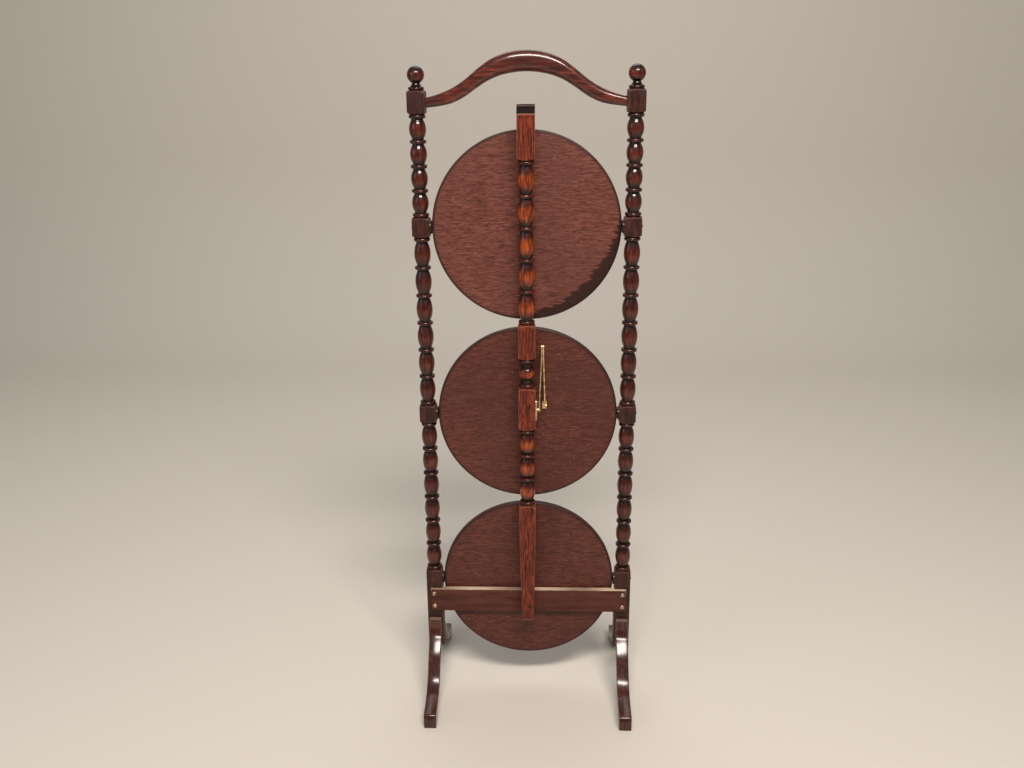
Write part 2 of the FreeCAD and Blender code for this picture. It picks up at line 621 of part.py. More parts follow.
def make_pivot_washers():
    """Turned wooden washers between the posts and the trays."""
    washers = []
    thickness = TRAY_SIDE_GAP - WASHER_TRAY_GAP
    for tier in TIERS:
        start = V(POST_INNER_X, 0, PIVOT_Z[tier])
        disc = rod(start, X_AXIS * -1, WASHER_RADIUS, thickness)
        rims = [e for e in disc.Edges if abs(e.CenterOfMass.x - (POST_INNER_X - thickness)) < TOUCH]
        disc = disc.makeFillet(WASHER_ROUND, rims)
        hole = rod(start + X_AXIS * OVERRUN, X_AXIS * -1, PIVOT_PIN_RADIUS + WASHER_CLEARANCE,
                   thickness + 2 * OVERRUN)
        washer = disc.cut(hole)
        washers += [washer, mirrored_x(washer)]
    return group(washers)


def tapered_foot(z_high, z_low):
    """Plain square lower length of the bar, its sides curving in to a narrow foot."""
    front_y = BAR_AXIS_Y - HALF_STOCK
    half_foot = BAR_FOOT_WIDTH / 2
    z_bend = (z_high + z_low) / 2
    x_bend = HALF_STOCK - (HALF_STOCK - half_foot) / 4

    def at(x, z):
        return V(x, front_y, z)

    edges = [
        Part.makeLine(at(-HALF_STOCK, z_high), at(HALF_STOCK, z_high)),
        Part.Arc(at(HALF_STOCK, z_high), at(x_bend, z_bend), at(half_foot, z_low)).toShape(),
        Part.makeLine(at(half_foot, z_low), at(-half_foot, z_low)),
        Part.Arc(at(-half_foot, z_low), at(-x_bend, z_bend), at(-HALF_STOCK, z_high)).toShape(),
    ]
    foot = Part.Face(Part.Wire(Part.__sortEdges__(edges))).extrude(Y_AXIS * STOCK)
    return foot.common(shoulder_envelope(z_high, z_low, 0, BAR_AXIS_Y, round_low=False))


def bar_blocks():
    """Heights of the square lengths of the link bar, from the top down."""
    stay_z = HINGE_Z["middle"] - STAY_BAR_DROP
    return (
        (BAR_TOP_Z, HINGE_Z["top"] - BAR_BLOCK_UNDER_TOP_HINGE),
        (HINGE_Z["middle"] + BAR_BLOCK_OVER_MIDDLE_HINGE, HINGE_Z["middle"] - BAR_BLOCK_UNDER_MIDDLE_HINGE),
        (stay_z + BAR_BLOCK_OVER_STAY, stay_z - BAR_BLOCK_UNDER_STAY),
        (HINGE_Z["bottom"] + BAR_FOOT_OVER_BOTTOM_HINGE, BAR_FOOT_Z),
    )


def make_link_bar():
    """Turned bar that hangs in front of the trays and links them."""
    blocks = bar_blocks()
    top = blocks[0][0] - BAR_BEVEL
    foot = blocks[-1][0] - BAR_BEVEL
    gaps = [(upper[1], lower[0]) for upper, lower in zip(blocks, blocks[1:])]
    runs = [turned_run(*gaps[0], BAR_BOBBINS[0]), ball_run(*gaps[1]), turned_run(*gaps[2], BAR_BOBBINS[1])]
    core_spans = [(top, gaps[0][0]), (gaps[0][1], gaps[1][0]), (gaps[1][1], gaps[2][0]), (gaps[2][1], foot)]
    axis = [(NECK_RADIUS, foot), (0, foot), (0, top), (NECK_RADIUS, top)]
    edges = [line(start, end) for start, end in zip(axis, axis[1:])]
    edges += [line((NECK_RADIUS, high), (NECK_RADIUS, low)) for high, low in core_spans]
    for run in runs:
        edges += run
    head = square_block(blocks[0][0], blocks[0][1], 0, BAR_AXIS_Y, round_high=False)
    front_y = BAR_AXIS_Y - HALF_STOCK
    wedge = Part.makePolygon([
        V(-STOCK, front_y - OVERRUN, BAR_TOP_Z - BAR_BEVEL - OVERRUN),
        V(-STOCK, front_y + BAR_BEVEL + OVERRUN, BAR_TOP_Z + OVERRUN),
        V(-STOCK, front_y - OVERRUN, BAR_TOP_Z + OVERRUN),
        V(-STOCK, front_y - OVERRUN, BAR_TOP_Z - BAR_BEVEL - OVERRUN),
    ])
    head = head.cut(Part.Face(wedge).extrude(X_AXIS * (2 * STOCK)))
    solids = [spun(edges, 0, BAR_AXIS_Y), head]
    for upper, lower in blocks[1:-1]:
        solids.append(square_block(upper, lower, 0, BAR_AXIS_Y))
    solids.append(tapered_foot(*blocks[-1]))
    bar = fused(solids)
    cuts = []
    for tier in TIERS:
        for point in hinge_screw_points(tier, -1):
            cuts.append(rod(point, Y_AXIS * -1, SCREW_RADIUS + PILOT_CLEARANCE,
                            BAR_SCREW_LENGTH + PILOT_SPARE))
    for point in stay_plate_screw_points():
        cuts.append(rod(point, X_AXIS * -1, SCREW_RADIUS + PILOT_CLEARANCE, STAY_SCREW_LENGTH + PILOT_SPARE))
    rivet_start = V(HALF_STOCK + STAY_PLATE_THICKNESS, *stay_bar_pivot())
    cuts.append(rod(rivet_start, X_AXIS * -1, STAY_RIVET_HEAD_RADIUS + WASHER_CLEARANCE,
                    STAY_PLATE_THICKNESS + STAY_RIVET_HEAD + PILOT_SPARE))
    return bar.cut(group(cuts))


def hinge_screw_points(tier, side):
    """Screw centres on the inner face of a hinge leaf: side 1 is the tray's, -1 the bar's."""
    y = -KNUCKLE_Y + side * (LEAF_BACK - LEAF_THICKNESS)
    z = HINGE_Z[tier] - HINGE_SCREW_DROP
    return [V(x, y, z) for x in (-HINGE_SCREW_X, HINGE_SCREW_X)]


def make_leaf(tier, side):
    """One hinge leaf with its knuckles: side 1 is the tray's, -1 the bar's."""
    z = HINGE_Z[tier]
    inner_y = -KNUCKLE_Y + side * (LEAF_BACK - LEAF_THICKNESS)
    outer_y = -KNUCKLE_Y + side * LEAF_BACK
    half_width = HINGE_WIDTH / 2
    half_middle = KNUCKLE_MIDDLE_WIDTH / 2
    plate_top = z - KNUCKLE_RADIUS - KNUCKLE_END_GAP
    solids = [span_box((-half_width, half_width), (inner_y, outer_y), (z - LEAF_LENGTH, plate_top))]
    if side > 0:
        spans = [(-half_middle, half_middle)]
        bore = HINGE_PIN_RADIUS + SHAFT_CLEARANCE
    else:
        inner = half_middle + KNUCKLE_END_GAP
        spans = [(-half_width, -inner), (inner, half_width)]
        bore = HINGE_PIN_RADIUS + PILOT_CLEARANCE
    for low, high in spans:
        solids.append(span_box((low, high), (inner_y, outer_y), (plate_top, z)))
        solids.append(rod(V(low, -KNUCKLE_Y, z), X_AXIS, KNUCKLE_RADIUS, high - low))
    leaf = fused(solids)
    cuts = [rod(V(-HINGE_WIDTH, -KNUCKLE_Y, z), X_AXIS, bore, 2 * HINGE_WIDTH)]
    for point in hinge_screw_points(tier, side):
        cuts.append(leaf_screw_hole(point, Y_AXIS * side))
    return leaf.cut(group(cuts))


def make_hinge_pins():
    """Plain pins of the three hinges."""
    pins = []
    for tier in TIERS:
        start = V(-HINGE_WIDTH / 2, -KNUCKLE_Y, HINGE_Z[tier])
        pins.append(rod(start, X_AXIS, HINGE_PIN_RADIUS, HINGE_WIDTH))
    return group(pins)


def make_hinge_pad(tier):
    """Wooden packing piece between the bar and a hinge leaf."""
    half_width = HINGE_WIDTH / 2
    top = HINGE_Z[tier] - PAD_UNDER_AXIS
    pad = span_box((-half_width, half_width), (-BAR_BACK_Y, -BAR_BACK_Y + PAD_THICKNESS),
                   (top - PAD_LENGTH, top))
    holes = []
    for point in hinge_screw_points(tier, -1):
        holes.append(rod(point, Y_AXIS * -1, SCREW_RADIUS + GLUE_CLEARANCE, BAR_OFF_TRAY))
    return pad.cut(group(holes))


def make_tray_hinge_screws(tier):
    """Screws of one hinge leaf into its tray."""
    return group([leaf_screw(point, Y_AXIS, TRAY_SCREW_LENGTH) for point in hinge_screw_points(tier, 1)])


def make_bar_hinge_screws():
    """Screws of the hinge leaves through the pads into the bar."""
    screws = []
    for tier in TIERS:
        for point in hinge_screw_points(tier, -1):
            screws.append(leaf_screw(point, Y_AXIS * -1, BAR_SCREW_LENGTH))
    return group(screws)


def stay_bar_pivot():
    """(y, z) of the stay's pivot on the bar."""
    return BAR_AXIS_Y, HINGE_Z["middle"] - STAY_BAR_DROP


def stay_tray_pivot():
    """(y, z) of the stay's pivot on the middle tray."""
    return -TRAY_FACE_Y - STAY_OFF_TRAY, HINGE_Z["middle"] - STAY_TRAY_DROP


def stay_arm_length():
    """Length of each arm, from the distance between the pivots when the trays are level."""
    bar_y, bar_z = stay_bar_pivot()
    tray_y, tray_z = stay_tray_pivot()
    shift_y = -(HINGE_RISE - KNUCKLE_Y)
    shift_z = -(HINGE_RISE + KNUCKLE_Y)
    pivot_z = PIVOT_Z["middle"]
    open_tray_y = -(tray_z - pivot_z)
    open_tray_z = pivot_z + tray_y
    gap = math.hypot(bar_y + shift_y - open_tray_y, bar_z + shift_z - open_tray_z)
    return gap / (2 * math.sin(math.radians(STAY_KNEE_OPEN_DEG / 2)))


def stay_knee():
    """(y, z) of the knee with the stand folded: the point above both pivots."""
    bar_y, bar_z = stay_bar_pivot()
    tray_y, tray_z = stay_tray_pivot()
    gap = math.hypot(tray_y - bar_y, tray_z - bar_z)
    height = math.sqrt(stay_arm_length() ** 2 - (gap / 2) ** 2)
    across_y = (tray_y - bar_y) / gap
    across_z = (tray_z - bar_z) / gap
    middle_y = (bar_y + tray_y) / 2
    middle_z = (bar_z + tray_z) / 2
    return middle_y - across_z * height, middle_z + across_y * height


def make_stay_arm(pivot, low_x, high_x):
    """Cranked arm from a pivot up to the knee, with a round eye at each end."""
    length = stay_arm_length()
    half = STAY_ARM_WIDTH / 2
    thick = STAY_ARM_THICKNESS

    def at(x, z):
        return V(x, -half, z)

    low_flat = STAY_ARM_CRANK
    high_flat = length - STAY_ARM_CRANK
    outline = Part.makePolygon([
        at(low_x, -half), at(low_x, low_flat), at(high_x, high_flat), at(high_x, length + half),
        at(high_x + thick, length + half), at(high_x + thick, high_flat), at(low_x + thick, low_flat),
        at(low_x + thick, -half), at(low_x, -half),
    ])
    strip = Part.Face(outline).extrude(Y_AXIS * STAY_ARM_WIDTH)
    start_x = min(low_x, high_x) - OVERRUN
    reach = abs(high_x - low_x) + thick + 2 * OVERRUN
    ends = [rod(V(start_x, 0, z), X_AXIS, half, reach) for z in (0, length)]
    ends.append(span_box((start_x, start_x + reach), (-half, half), (0, length)))
    arm = strip.common(fused(ends))
    holes = [rod(V(start_x, 0, z), X_AXIS, STAY_RIVET_RADIUS + SHAFT_CLEARANCE, reach) for z in (0, length)]
    arm = arm.cut(group(holes))
    knee_y, knee_z = stay_knee()
    lean = math.degrees(math.atan2(knee_y - pivot[0], knee_z - pivot[1]))
    arm.rotate(ORIGIN, X_AXIS, -lean)
    return arm.translated(V(0, *pivot))


def stay_plate_screw_points():
    """Screw centres on the outer face of the stay's plate."""
    y, z = stay_bar_pivot()
    x = HALF_STOCK + STAY_PLATE_THICKNESS
    return [V(x, y, z + side * STAY_PLATE_SCREW_SPREAD) for side in (-1, 1)]


def make_stay_plate():
    """Brass plate on the side of the bar that carries one arm."""
    y, z = stay_bar_pivot()
    half_y = STAY_PLATE_WIDTH / 2
    half_z = STAY_PLATE_HEIGHT / 2
    plate = span_box((HALF_STOCK, HALF_STOCK + STAY_PLATE_THICKNESS), (y - half_y, y + half_y),
                     (z - half_z, z + half_z))
    corners = [e for e in plate.Edges if abs(abs(e.CenterOfMass.y - y) - half_y) < TOUCH
               and abs(abs(e.CenterOfMass.z - z) - half_z) < TOUCH]
    plate = plate.makeFillet(STAY_PLATE_CORNER, corners)
    cuts = [rod(V(0, y, z), X_AXIS, STAY_RIVET_RADIUS + PILOT_CLEARANCE, STOCK)]
    for point in stay_plate_screw_points():
        cuts.append(leaf_screw_hole(point, X_AXIS * -1))
    return plate.cut(group(cuts))


def make_stay_plate_screws():
    """Screws of the stay's plate into the bar."""
    return group([leaf_screw(point, X_AXIS * -1, STAY_SCREW_LENGTH) for point in stay_plate_screw_points()])


def make_stay_bar_rivet():
    """Rivet of the lower arm in the plate."""
    y, z = stay_bar_pivot()
    inner_x = HALF_STOCK
    outer_x = BAR_ARM_LOW_X + STAY_ARM_THICKNESS + STAY_EYE_GAP
    tail = rod(V(inner_x - STAY_RIVET_HEAD, y, z), X_AXIS, STAY_RIVET_HEAD_RADIUS, STAY_RIVET_HEAD)
    shank = rod(V(inner_x - STAY_RIVET_HEAD, y, z), X_AXIS, STAY_RIVET_RADIUS,
                outer_x - inner_x + STAY_RIVET_HEAD + HEAD_ROOT)
    plate_x = HALF_STOCK + STAY_PLATE_THICKNESS
    collar = rod(V(plate_x, y, z), X_AXIS, STAY_RIVET_HEAD_RADIUS, BAR_ARM_LOW_X - STAY_EYE_GAP - plate_x)
    head = dome(V(outer_x, y, z), X_AXIS, STAY_RIVET_HEAD_RADIUS, STAY_RIVET_HEAD)
    return fused([tail, shank, collar, head])


def stay_ear_x():
    """Inner face of the ear that carries the tray's arm."""
    return TRAY_ARM_LOW_X + STAY_ARM_THICKNESS + STAY_EYE_GAP


def stay_base_screw_points():
    """Screw centres on the face of the stay's bracket."""
    y, z = stay_tray_pivot()
    face_y = -TRAY_FACE_Y - STAY_BASE_THICKNESS
    x = stay_ear_x() - STAY_BASE_SCREW_INSET
    return [V(x, face_y, z + side * STAY_BASE_SCREW_SPREAD) for side in (-1, 1)]


def make_stay_bracket():
    """Small brass bracket on the underside of the middle tray."""
    y, z = stay_tray_pivot()
    ear_x = stay_ear_x()
    outer_x = ear_x + STAY_ARM_THICKNESS
    half_z = STAY_BASE_HEIGHT / 2
    base = span_box((outer_x - STAY_BASE_WIDTH, outer_x), (-TRAY_FACE_Y, -TRAY_FACE_Y - STAY_BASE_THICKNESS),
                    (z - half_z, z + half_z))
    half_ear = STAY_EAR_WIDTH / 2
    ear = span_box((ear_x, outer_x), (-TRAY_FACE_Y, y), (z - half_ear, z + half_ear))
    eye = rod(V(ear_x, y, z), X_AXIS, half_ear, STAY_ARM_THICKNESS)
    bracket = fused([base, ear, eye])
    cuts = [rod(V(0, y, z), X_AXIS, STAY_RIVET_RADIUS + PILOT_CLEARANCE, 4 * STOCK)]
    for point in stay_base_screw_points():
        cuts.append(leaf_screw_hole(point, Y_AXIS))
    return bracket.cut(group(cuts))


def make_stay_bracket_screws():
    """Screws of the stay's bracket into the tray."""
    return group([leaf_screw(point, Y_AXIS, TRAY_SCREW_LENGTH) for point in stay_base_screw_points()])


def make_headed_rivet(y, z, head_x, length, direction):
    """Rivet with a domed head that stands on a face at head_x, its shank running inward."""
    outward = X_AXIS * direction
    head = dome(V(head_x, y, z), outward, STAY_RIVET_HEAD_RADIUS, STAY_RIVET_HEAD)
    shank = rod(V(head_x, y, z) + outward * HEAD_ROOT, outward * -1, STAY_RIVET_RADIUS, length + HEAD_ROOT)
    return fused([head, shank])


def make_stay_tray_rivet():
    """Rivet of the upper arm in the bracket's ear."""
    y, z = stay_tray_pivot()
    outer_x = stay_ear_x() + STAY_ARM_THICKNESS
    return make_headed_rivet(y, z, outer_x, outer_x - TRAY_ARM_LOW_X, 1)


def make_stay_knee_rivet():
    """Rivet at the knee, carried by the tray's arm and stopping short of the bar's arm."""
    y, z = stay_knee()
    outer_x = TRAY_ARM_HIGH_X + STAY_ARM_THICKNESS
    return make_headed_rivet(y, z, outer_x, STAY_ARM_THICKNESS, 1)


def all_nodes():
    """Every physical piece, by node name."""
    post = make_post()
    rear_leg = make_rear_leg()
    front_leg = rear_leg.mirror(ORIGIN, Y_AXIS)
    nodes = {
        "post_right": post,
        "post_left": mirrored_x(post),
        "handle": make_handle(),
        "rail": make_rail(),
        "rail_screws": make_rail_screws(),
        "leg_rear_right": rear_leg,
        "leg_rear_left": mirrored_x(rear_leg),
        "leg_front_right": front_leg,
        "leg_front_left": mirrored_x(front_leg),
        "leg_dowels": make_dowels(),
        "pivot_pins": make_pivot_pins(),
        "pivot_washers": make_pivot_washers(),
        "link_bar": make_link_bar(),
        "hinge_pins": make_hinge_pins(),
        "bar_hinge_screws": make_bar_hinge_screws(),
        "stay_plate": make_stay_plate(),
        "stay_plate_screws": make_stay_plate_screws(),
        "stay_bar_rivet": make_stay_bar_rivet(),
        "stay_bar_arm": make_stay_arm(stay_bar_pivot(), BAR_ARM_LOW_X, BAR_ARM_HIGH_X),
        "stay_tray_arm": make_stay_arm(stay_tray_pivot(), TRAY_ARM_LOW_X, TRAY_ARM_HIGH_X),
        "stay_knee_rivet": make_stay_knee_rivet(),
        "stay_bracket": make_stay_bracket(),
        "stay_bracket_screws": make_stay_bracket_screws(),
        "stay_tray_rivet": make_stay_tray_rivet(),
    }
    for tier in TIERS:
        nodes["tray_" + tier] = make_tray(tier)
        nodes["tray_hinge_leaf_" + tier] = make_leaf(tier, 1)
        nodes["bar_hinge_leaf_" + tier] = make_leaf(tier, -1)
        nodes["hinge_pad_" + tier] = make_hinge_pad(tier)
        nodes["tray_hinge_screws_" + tier] = make_tray_hinge_screws(tier)
    return nodes


os.makedirs("parts", exist_ok=True)
for name, shape in all_nodes().items():
    shape.exportStep("parts/" + name + ".step")
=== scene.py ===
"""Visual model of a three-tier folding cake stand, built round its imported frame."""
import json
import logging
import math
from dataclasses import dataclass, field, replace
from enum import Enum
from typing import Callable

import bmesh
import bpy
from mathutils import Matrix, Vector


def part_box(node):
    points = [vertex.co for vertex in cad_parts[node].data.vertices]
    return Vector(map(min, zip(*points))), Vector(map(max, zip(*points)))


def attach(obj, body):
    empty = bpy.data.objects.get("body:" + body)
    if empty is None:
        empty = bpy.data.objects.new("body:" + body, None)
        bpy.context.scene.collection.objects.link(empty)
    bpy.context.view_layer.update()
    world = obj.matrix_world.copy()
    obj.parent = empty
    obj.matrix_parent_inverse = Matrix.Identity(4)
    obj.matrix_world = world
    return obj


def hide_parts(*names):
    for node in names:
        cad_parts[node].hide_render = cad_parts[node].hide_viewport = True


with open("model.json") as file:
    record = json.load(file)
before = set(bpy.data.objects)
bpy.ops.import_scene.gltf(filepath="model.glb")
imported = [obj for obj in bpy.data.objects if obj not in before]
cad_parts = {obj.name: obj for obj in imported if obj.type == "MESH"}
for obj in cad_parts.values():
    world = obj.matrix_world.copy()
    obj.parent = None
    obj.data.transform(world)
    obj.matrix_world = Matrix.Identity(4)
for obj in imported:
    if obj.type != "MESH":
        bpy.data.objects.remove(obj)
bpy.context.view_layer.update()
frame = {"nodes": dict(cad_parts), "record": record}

LOG = logging.getLogger("cake_stand")
MM = 0.001              # metres in a millimetre
SNAP = 1e-6             # vertices nearer than this are one, in metres
PLANE_SNAP = 1e-7       # a vertex nearer a cut than this lies on it, in metres
Pair = tuple[float, float]
Place = tuple[float, float, float]

# Inputs of a Map Range node and of a Mix node set to colours, by position.
VALUE, FROM_LOW, FROM_HIGH, TO_LOW, TO_HIGH = range(5)
SHARE, UNDER, OVER = 0, 6, 7


class Axis(Enum):
    """Row axes, as unit vectors."""

    X = (1.0, 0.0, 0.0)
    Y = (0.0, 1.0, 0.0)
    Z = (0.0, 0.0, 1.0)


class Tier(Enum):
    """The three trays, from the floor up."""

    BOTTOM = "bottom"
    MIDDLE = "middle"
    TOP = "top"


# ---------------------------------------------------------------- colour and nodes

def linear(code: str) -> tuple[float, float, float, float]:
    """Turns an sRGB hex colour to linear.

    Args:
        code: six hex digits.

    Returns:
        Red, green, blue and an alpha of 1.
    """
    channels = [int(code[i:i + 2], 16) / 255 for i in (0, 2, 4)]
    values = [c / 12.92 if c <= 0.04045 else ((c + 0.055) / 1.055) ** 2.4 for c in channels]
    return values[0], values[1], values[2], 1.0


def add_node(tree: bpy.types.NodeTree, kind: str, inputs: dict | None = None,
             stops: tuple[tuple[float, str], ...] = (), **settings) -> bpy.types.Node:
    """Adds a node with its settings, its input values and its links.

    Args:
        tree: the node tree that gets it.
        kind: the node's type name.
        inputs: input name or index to a value, or to the output socket linked to it.
        stops: position and hex colour of each stop of a colour ramp, in order.
        settings: attributes of the node.

    Returns:
        The new node.
    """
    new = tree.nodes.new(kind)
    for name, value in settings.items():
        setattr(new, name, value)
    for key, value in (inputs or {}).items():
        if isinstance(value, bpy.types.NodeSocket):
            tree.links.new(value, new.inputs[key])
        else:
            new.inputs[key].default_value = value
    if stops:
        elements = new.color_ramp.elements
        while len(elements) < len(stops):
            elements.new(0.5)
        for element, (position, code) in zip(elements, stops):
            element.position, element.color = position, linear(code)
    return new


def start_material(name: str) -> tuple[bpy.types.Material, bpy.types.NodeTree, bpy.types.Node]:
    """Makes an empty node material with a Principled shader on its output.

    Args:
        name: the material's name.

    Returns:
        The material, its tree and the shader node.
    """
    material = bpy.data.materials.new(name)
    material.use_nodes = True
    tree = material.node_tree
    tree.nodes.clear()
    shader = add_node(tree, "ShaderNodeBsdfPrincipled")
    add_node(tree, "ShaderNodeOutputMaterial", {0: shader.outputs[0]})
    return material, tree, shader


# ---------------------------------------------------------------- finishes

@dataclass(frozen=True)
class StainedWood:
    """Open-grained hardwood under a dark stain, showing rubbing or polishing.

    The grain runs along one row axis. Long soft streaks carry the stain unevenly, fine pores stay
    darker and sit a little below the surface, and broad patches show handling. The piece's own per-vertex
    attribute is 1 on arrises and rims, which take the edge colour (wearing, on some a painted highlight,
    a darker rim on the trays), and in grooves, where stain and painted shade build up; 0 on flats; and -1
    on swells, which show rubbing and a painted warm reflection. Each colour's share is its strength over
    the colours before it.
    """

    name: str
    grain: Axis
    deep: str                   # stain in the pores and the darkest streaks
    body: str                   # the wood between them
    warm: str                   # where the stain is thin
    patch: str                  # broad patches
    edge: str                   # arrises and rims (wearing, on some a painted highlight, a darker rim on the trays), grooves of turned wood (stain and painted shade)
    swell_wear_and_glow: str = "000000"        # swells: rubbing through to the ground, with a painted warm reflection
    fleck: str = "b8a294"       # pale specks of dust and wear
    gloss: str = "1c0a08"       # colour of the darker, glossier crescent
    pore_share: float = 0.6
    patch_share: float = 0.35
    swell_wear_and_glow_share: float = 0.0
    edge_share: float = 0.6
    fleck_share: float = 0.0
    gloss_share: float = 0.85
    contrast: float = 0.16      # half the width of the figure's ramp; smaller is harder
    streak_mm: float = 6.0      # width of a streak of figure
    pore_mm: float = 1.1        # width of a pore; drawn coarser than life so that it shows
    patch_mm: float = 45.0      # width of a broad patch
    fleck_mm: float = 2.2       # width of a speck; drawn coarser than life so that it shows
    ragged_mm: float = 3.0      # width of the tongues along the crescent's edge
    stretch: float = 9.0        # length of a streak as a multiple of its width
    pore_levels: Pair = (0.38, 0.48)        # noise where a pore is full, and where it ends
    patch_levels: Pair = (0.44, 0.62)       # noise where a patch begins, and where it is full
    swell_wear_and_glow_levels: Pair = (0.42, 0.6)         # figure where the swell colour is least, and where it is full
    fleck_levels: Pair = (0.76, 0.8)        # noise where a speck begins, and where it is full
    gloss_levels: Pair = (0.502, 0.494)     # nearness where the crescent begins, and where it is full
    ragged: Pair = (-0.04, 0.04)            # wander of that edge
    rubbing: Pair = (0.4, 1.6)              # how far pores break up the edge colour
    roughness: Pair = (0.42, 0.62)
    gloss_roughness: float = 0.2
    specular: float = 0.35
    coat: float = 0.0
    coat_roughness: float = 0.2
    pore_depth_mm: float = 0.05
    dark_crescent_circle: tuple[float, ...] = ()    # middle (x, y, z) and radius of the circle outside which the crescent lies, mm
    seed: float = 0.0

    def grained(self, tree: bpy.types.NodeTree, width_mm: float, stretch: float, detail: float,
                distortion: float = 0.0) -> bpy.types.NodeSocket:
        """Pattern of a real width, drawn out along the grain.

        Args:
            tree: the node tree.
            width_mm: width of one feature across the grain.
            stretch: length of a feature as a multiple of its width.
            detail: octaves of finer detail.
            distortion: how far features wander.

        Returns:
            The value's socket.
        """
        across = 1.0 / (width_mm * MM)
        scale = [across / stretch if part else across for part in self.grain.value]
        place = add_node(tree, "ShaderNodeTexCoord").outputs["Object"]
        mapping = add_node(tree, "ShaderNodeMapping", {
            "Vector": place, "Scale": scale, "Location": (self.seed, self.seed * 1.7, self.seed * 0.6)})
        return add_node(tree, "ShaderNodeTexNoise", {"Vector": mapping.outputs[0], "Scale": 1.0,
                                                     "Detail": detail, "Distortion": distortion}).outputs[0]

    def dark_crescent_mask(self, tree: bpy.types.NodeTree) -> bpy.types.NodeSocket:
        """Mask of the darker, glossier crescent, ragged along the grain.

        Args:
            tree: the node tree.

        Returns:
            The mask's socket, 1 on the crescent.
        """
        middle, reach = Vector(self.dark_crescent_circle[:3]) * MM, self.dark_crescent_circle[3] * 2 * MM
        place = add_node(tree, "ShaderNodeTexCoord").outputs["Object"]
        mapping = add_node(tree, "ShaderNodeMapping", {"Vector": place, "Scale": [1 / reach] * 3,
                                                       "Location": -middle / reach})
        near = add_node(tree, "ShaderNodeTexGradient", {0: mapping.outputs[0]}, gradient_type="SPHERICAL")
        tongues = self.grained(tree, self.ragged_mm, 7.0, 3.0, 0.8)
        wander = add_node(tree, "ShaderNodeMapRange",
                          {VALUE: tongues, TO_LOW: self.ragged[0], TO_HIGH: self.ragged[1]}).outputs[0]
        ground = add_node(tree, "ShaderNodeMath", {0: near.outputs["Fac"], 1: wander}, operation="ADD")
        return add_node(tree, "ShaderNodeMapRange", {
            VALUE: ground.outputs[0], FROM_LOW: self.gloss_levels[0],
            FROM_HIGH: self.gloss_levels[1]}).outputs[0]

    @staticmethod
    def laid(tree: bpy.types.NodeTree, under: bpy.types.NodeSocket, mask: bpy.types.NodeSocket,
             share: float, code: str) -> bpy.types.NodeSocket:
        """Lays a colour over another through a mask.

        Args:
            tree: the node tree.
            under: the socket of the colour underneath.
            mask: the mask's socket, 0 to 1.
            share: strength of the new colour where the mask is 1.
            code: its hex value.

        Returns:
            The socket of the two together.
        """
        strength = add_node(tree, "ShaderNodeMapRange", {VALUE: mask, TO_LOW: 0.0, TO_HIGH: share})
        return add_node(tree, "ShaderNodeMix", {SHARE: strength.outputs[0], UNDER: under, OVER: linear(code)},
                        data_type="RGBA").outputs[2]

    def build(self) -> bpy.types.Material:
        """Makes the material.

        Returns:
            The finished material.
        """
        material, tree, shader = start_material(self.name)
        figure = self.grained(tree, self.streak_mm, self.stretch, 5.0, 0.4)
        pores = self.grained(tree, self.pore_mm, 9.0, 2.0)
        patches = self.grained(tree, self.patch_mm, 1.5, 4.0, 0.6)
        pore_mask = add_node(tree, "ShaderNodeMapRange", {
            VALUE: pores, FROM_LOW: self.pore_levels[0], FROM_HIGH: self.pore_levels[1],
            TO_LOW: 1.0, TO_HIGH: 0.0}).outputs[0]
        patch_mask = add_node(tree, "ShaderNodeMapRange", {
            VALUE: patches, FROM_LOW: self.patch_levels[0], FROM_HIGH: self.patch_levels[1]}).outputs[0]
        # per-vertex attribute: wearing, painted shade in grooves and painted highlights on some edges and
        # tops
        wear_and_light = add_node(tree, "ShaderNodeAttribute", attribute_name="wear_and_light").outputs["Fac"]
        colour = add_node(tree, "ShaderNodeValToRGB", {0: figure}, stops=(
            (0.5 - self.contrast, self.deep), (0.5, self.body),
            (0.5 + self.contrast, self.warm))).outputs["Color"]
        colour = self.laid(tree, colour, pore_mask, self.pore_share, self.deep)
        colour = self.laid(tree, colour, patch_mask, self.patch_share, self.patch)
        if self.swell_wear_and_glow_share:
            # swell colour: rubbing through to the ground plus a painted warm reflection
            swell_wear_and_glow_mask = add_node(tree, "ShaderNodeMapRange", {VALUE: wear_and_light, FROM_LOW: -0.05, FROM_HIGH: -1.0})
            streaks = add_node(tree, "ShaderNodeMapRange", {
                VALUE: figure, FROM_LOW: self.swell_wear_and_glow_levels[0], FROM_HIGH: self.swell_wear_and_glow_levels[1], TO_LOW: 0.25})
            swell = add_node(tree, "ShaderNodeMath", {0: swell_wear_and_glow_mask.outputs[0], 1: streaks.outputs[0]},
                             operation="MULTIPLY").outputs[0]
            colour = self.laid(tree, colour, swell, self.swell_wear_and_glow_share, self.swell_wear_and_glow)
        broken = add_node(tree, "ShaderNodeMapRange", {
            VALUE: pores, TO_LOW: self.rubbing[0], TO_HIGH: self.rubbing[1]}).outputs[0]
        edges = add_node(tree, "ShaderNodeMath", {0: wear_and_light, 1: broken}, operation="MULTIPLY", use_clamp=True)
        colour = self.laid(tree, colour, edges.outputs[0], self.edge_share, self.edge)
        low, high = self.roughness
        rough = add_node(tree, "ShaderNodeMapRange", {
            VALUE: patch_mask, TO_LOW: low, TO_HIGH: high}).outputs[0]
        if self.fleck_share:
            flecks = add_node(tree, "ShaderNodeMapRange", {
                VALUE: self.grained(tree, self.fleck_mm, 1.3, 1.0), FROM_LOW: self.fleck_levels[0],
                FROM_HIGH: self.fleck_levels[1]}).outputs[0]
            colour = self.laid(tree, colour, flecks, self.fleck_share, self.fleck)
        if self.dark_crescent_circle:
            dark_crescent = self.dark_crescent_mask(tree)
            colour = self.laid(tree, colour, dark_crescent, self.gloss_share, self.gloss)
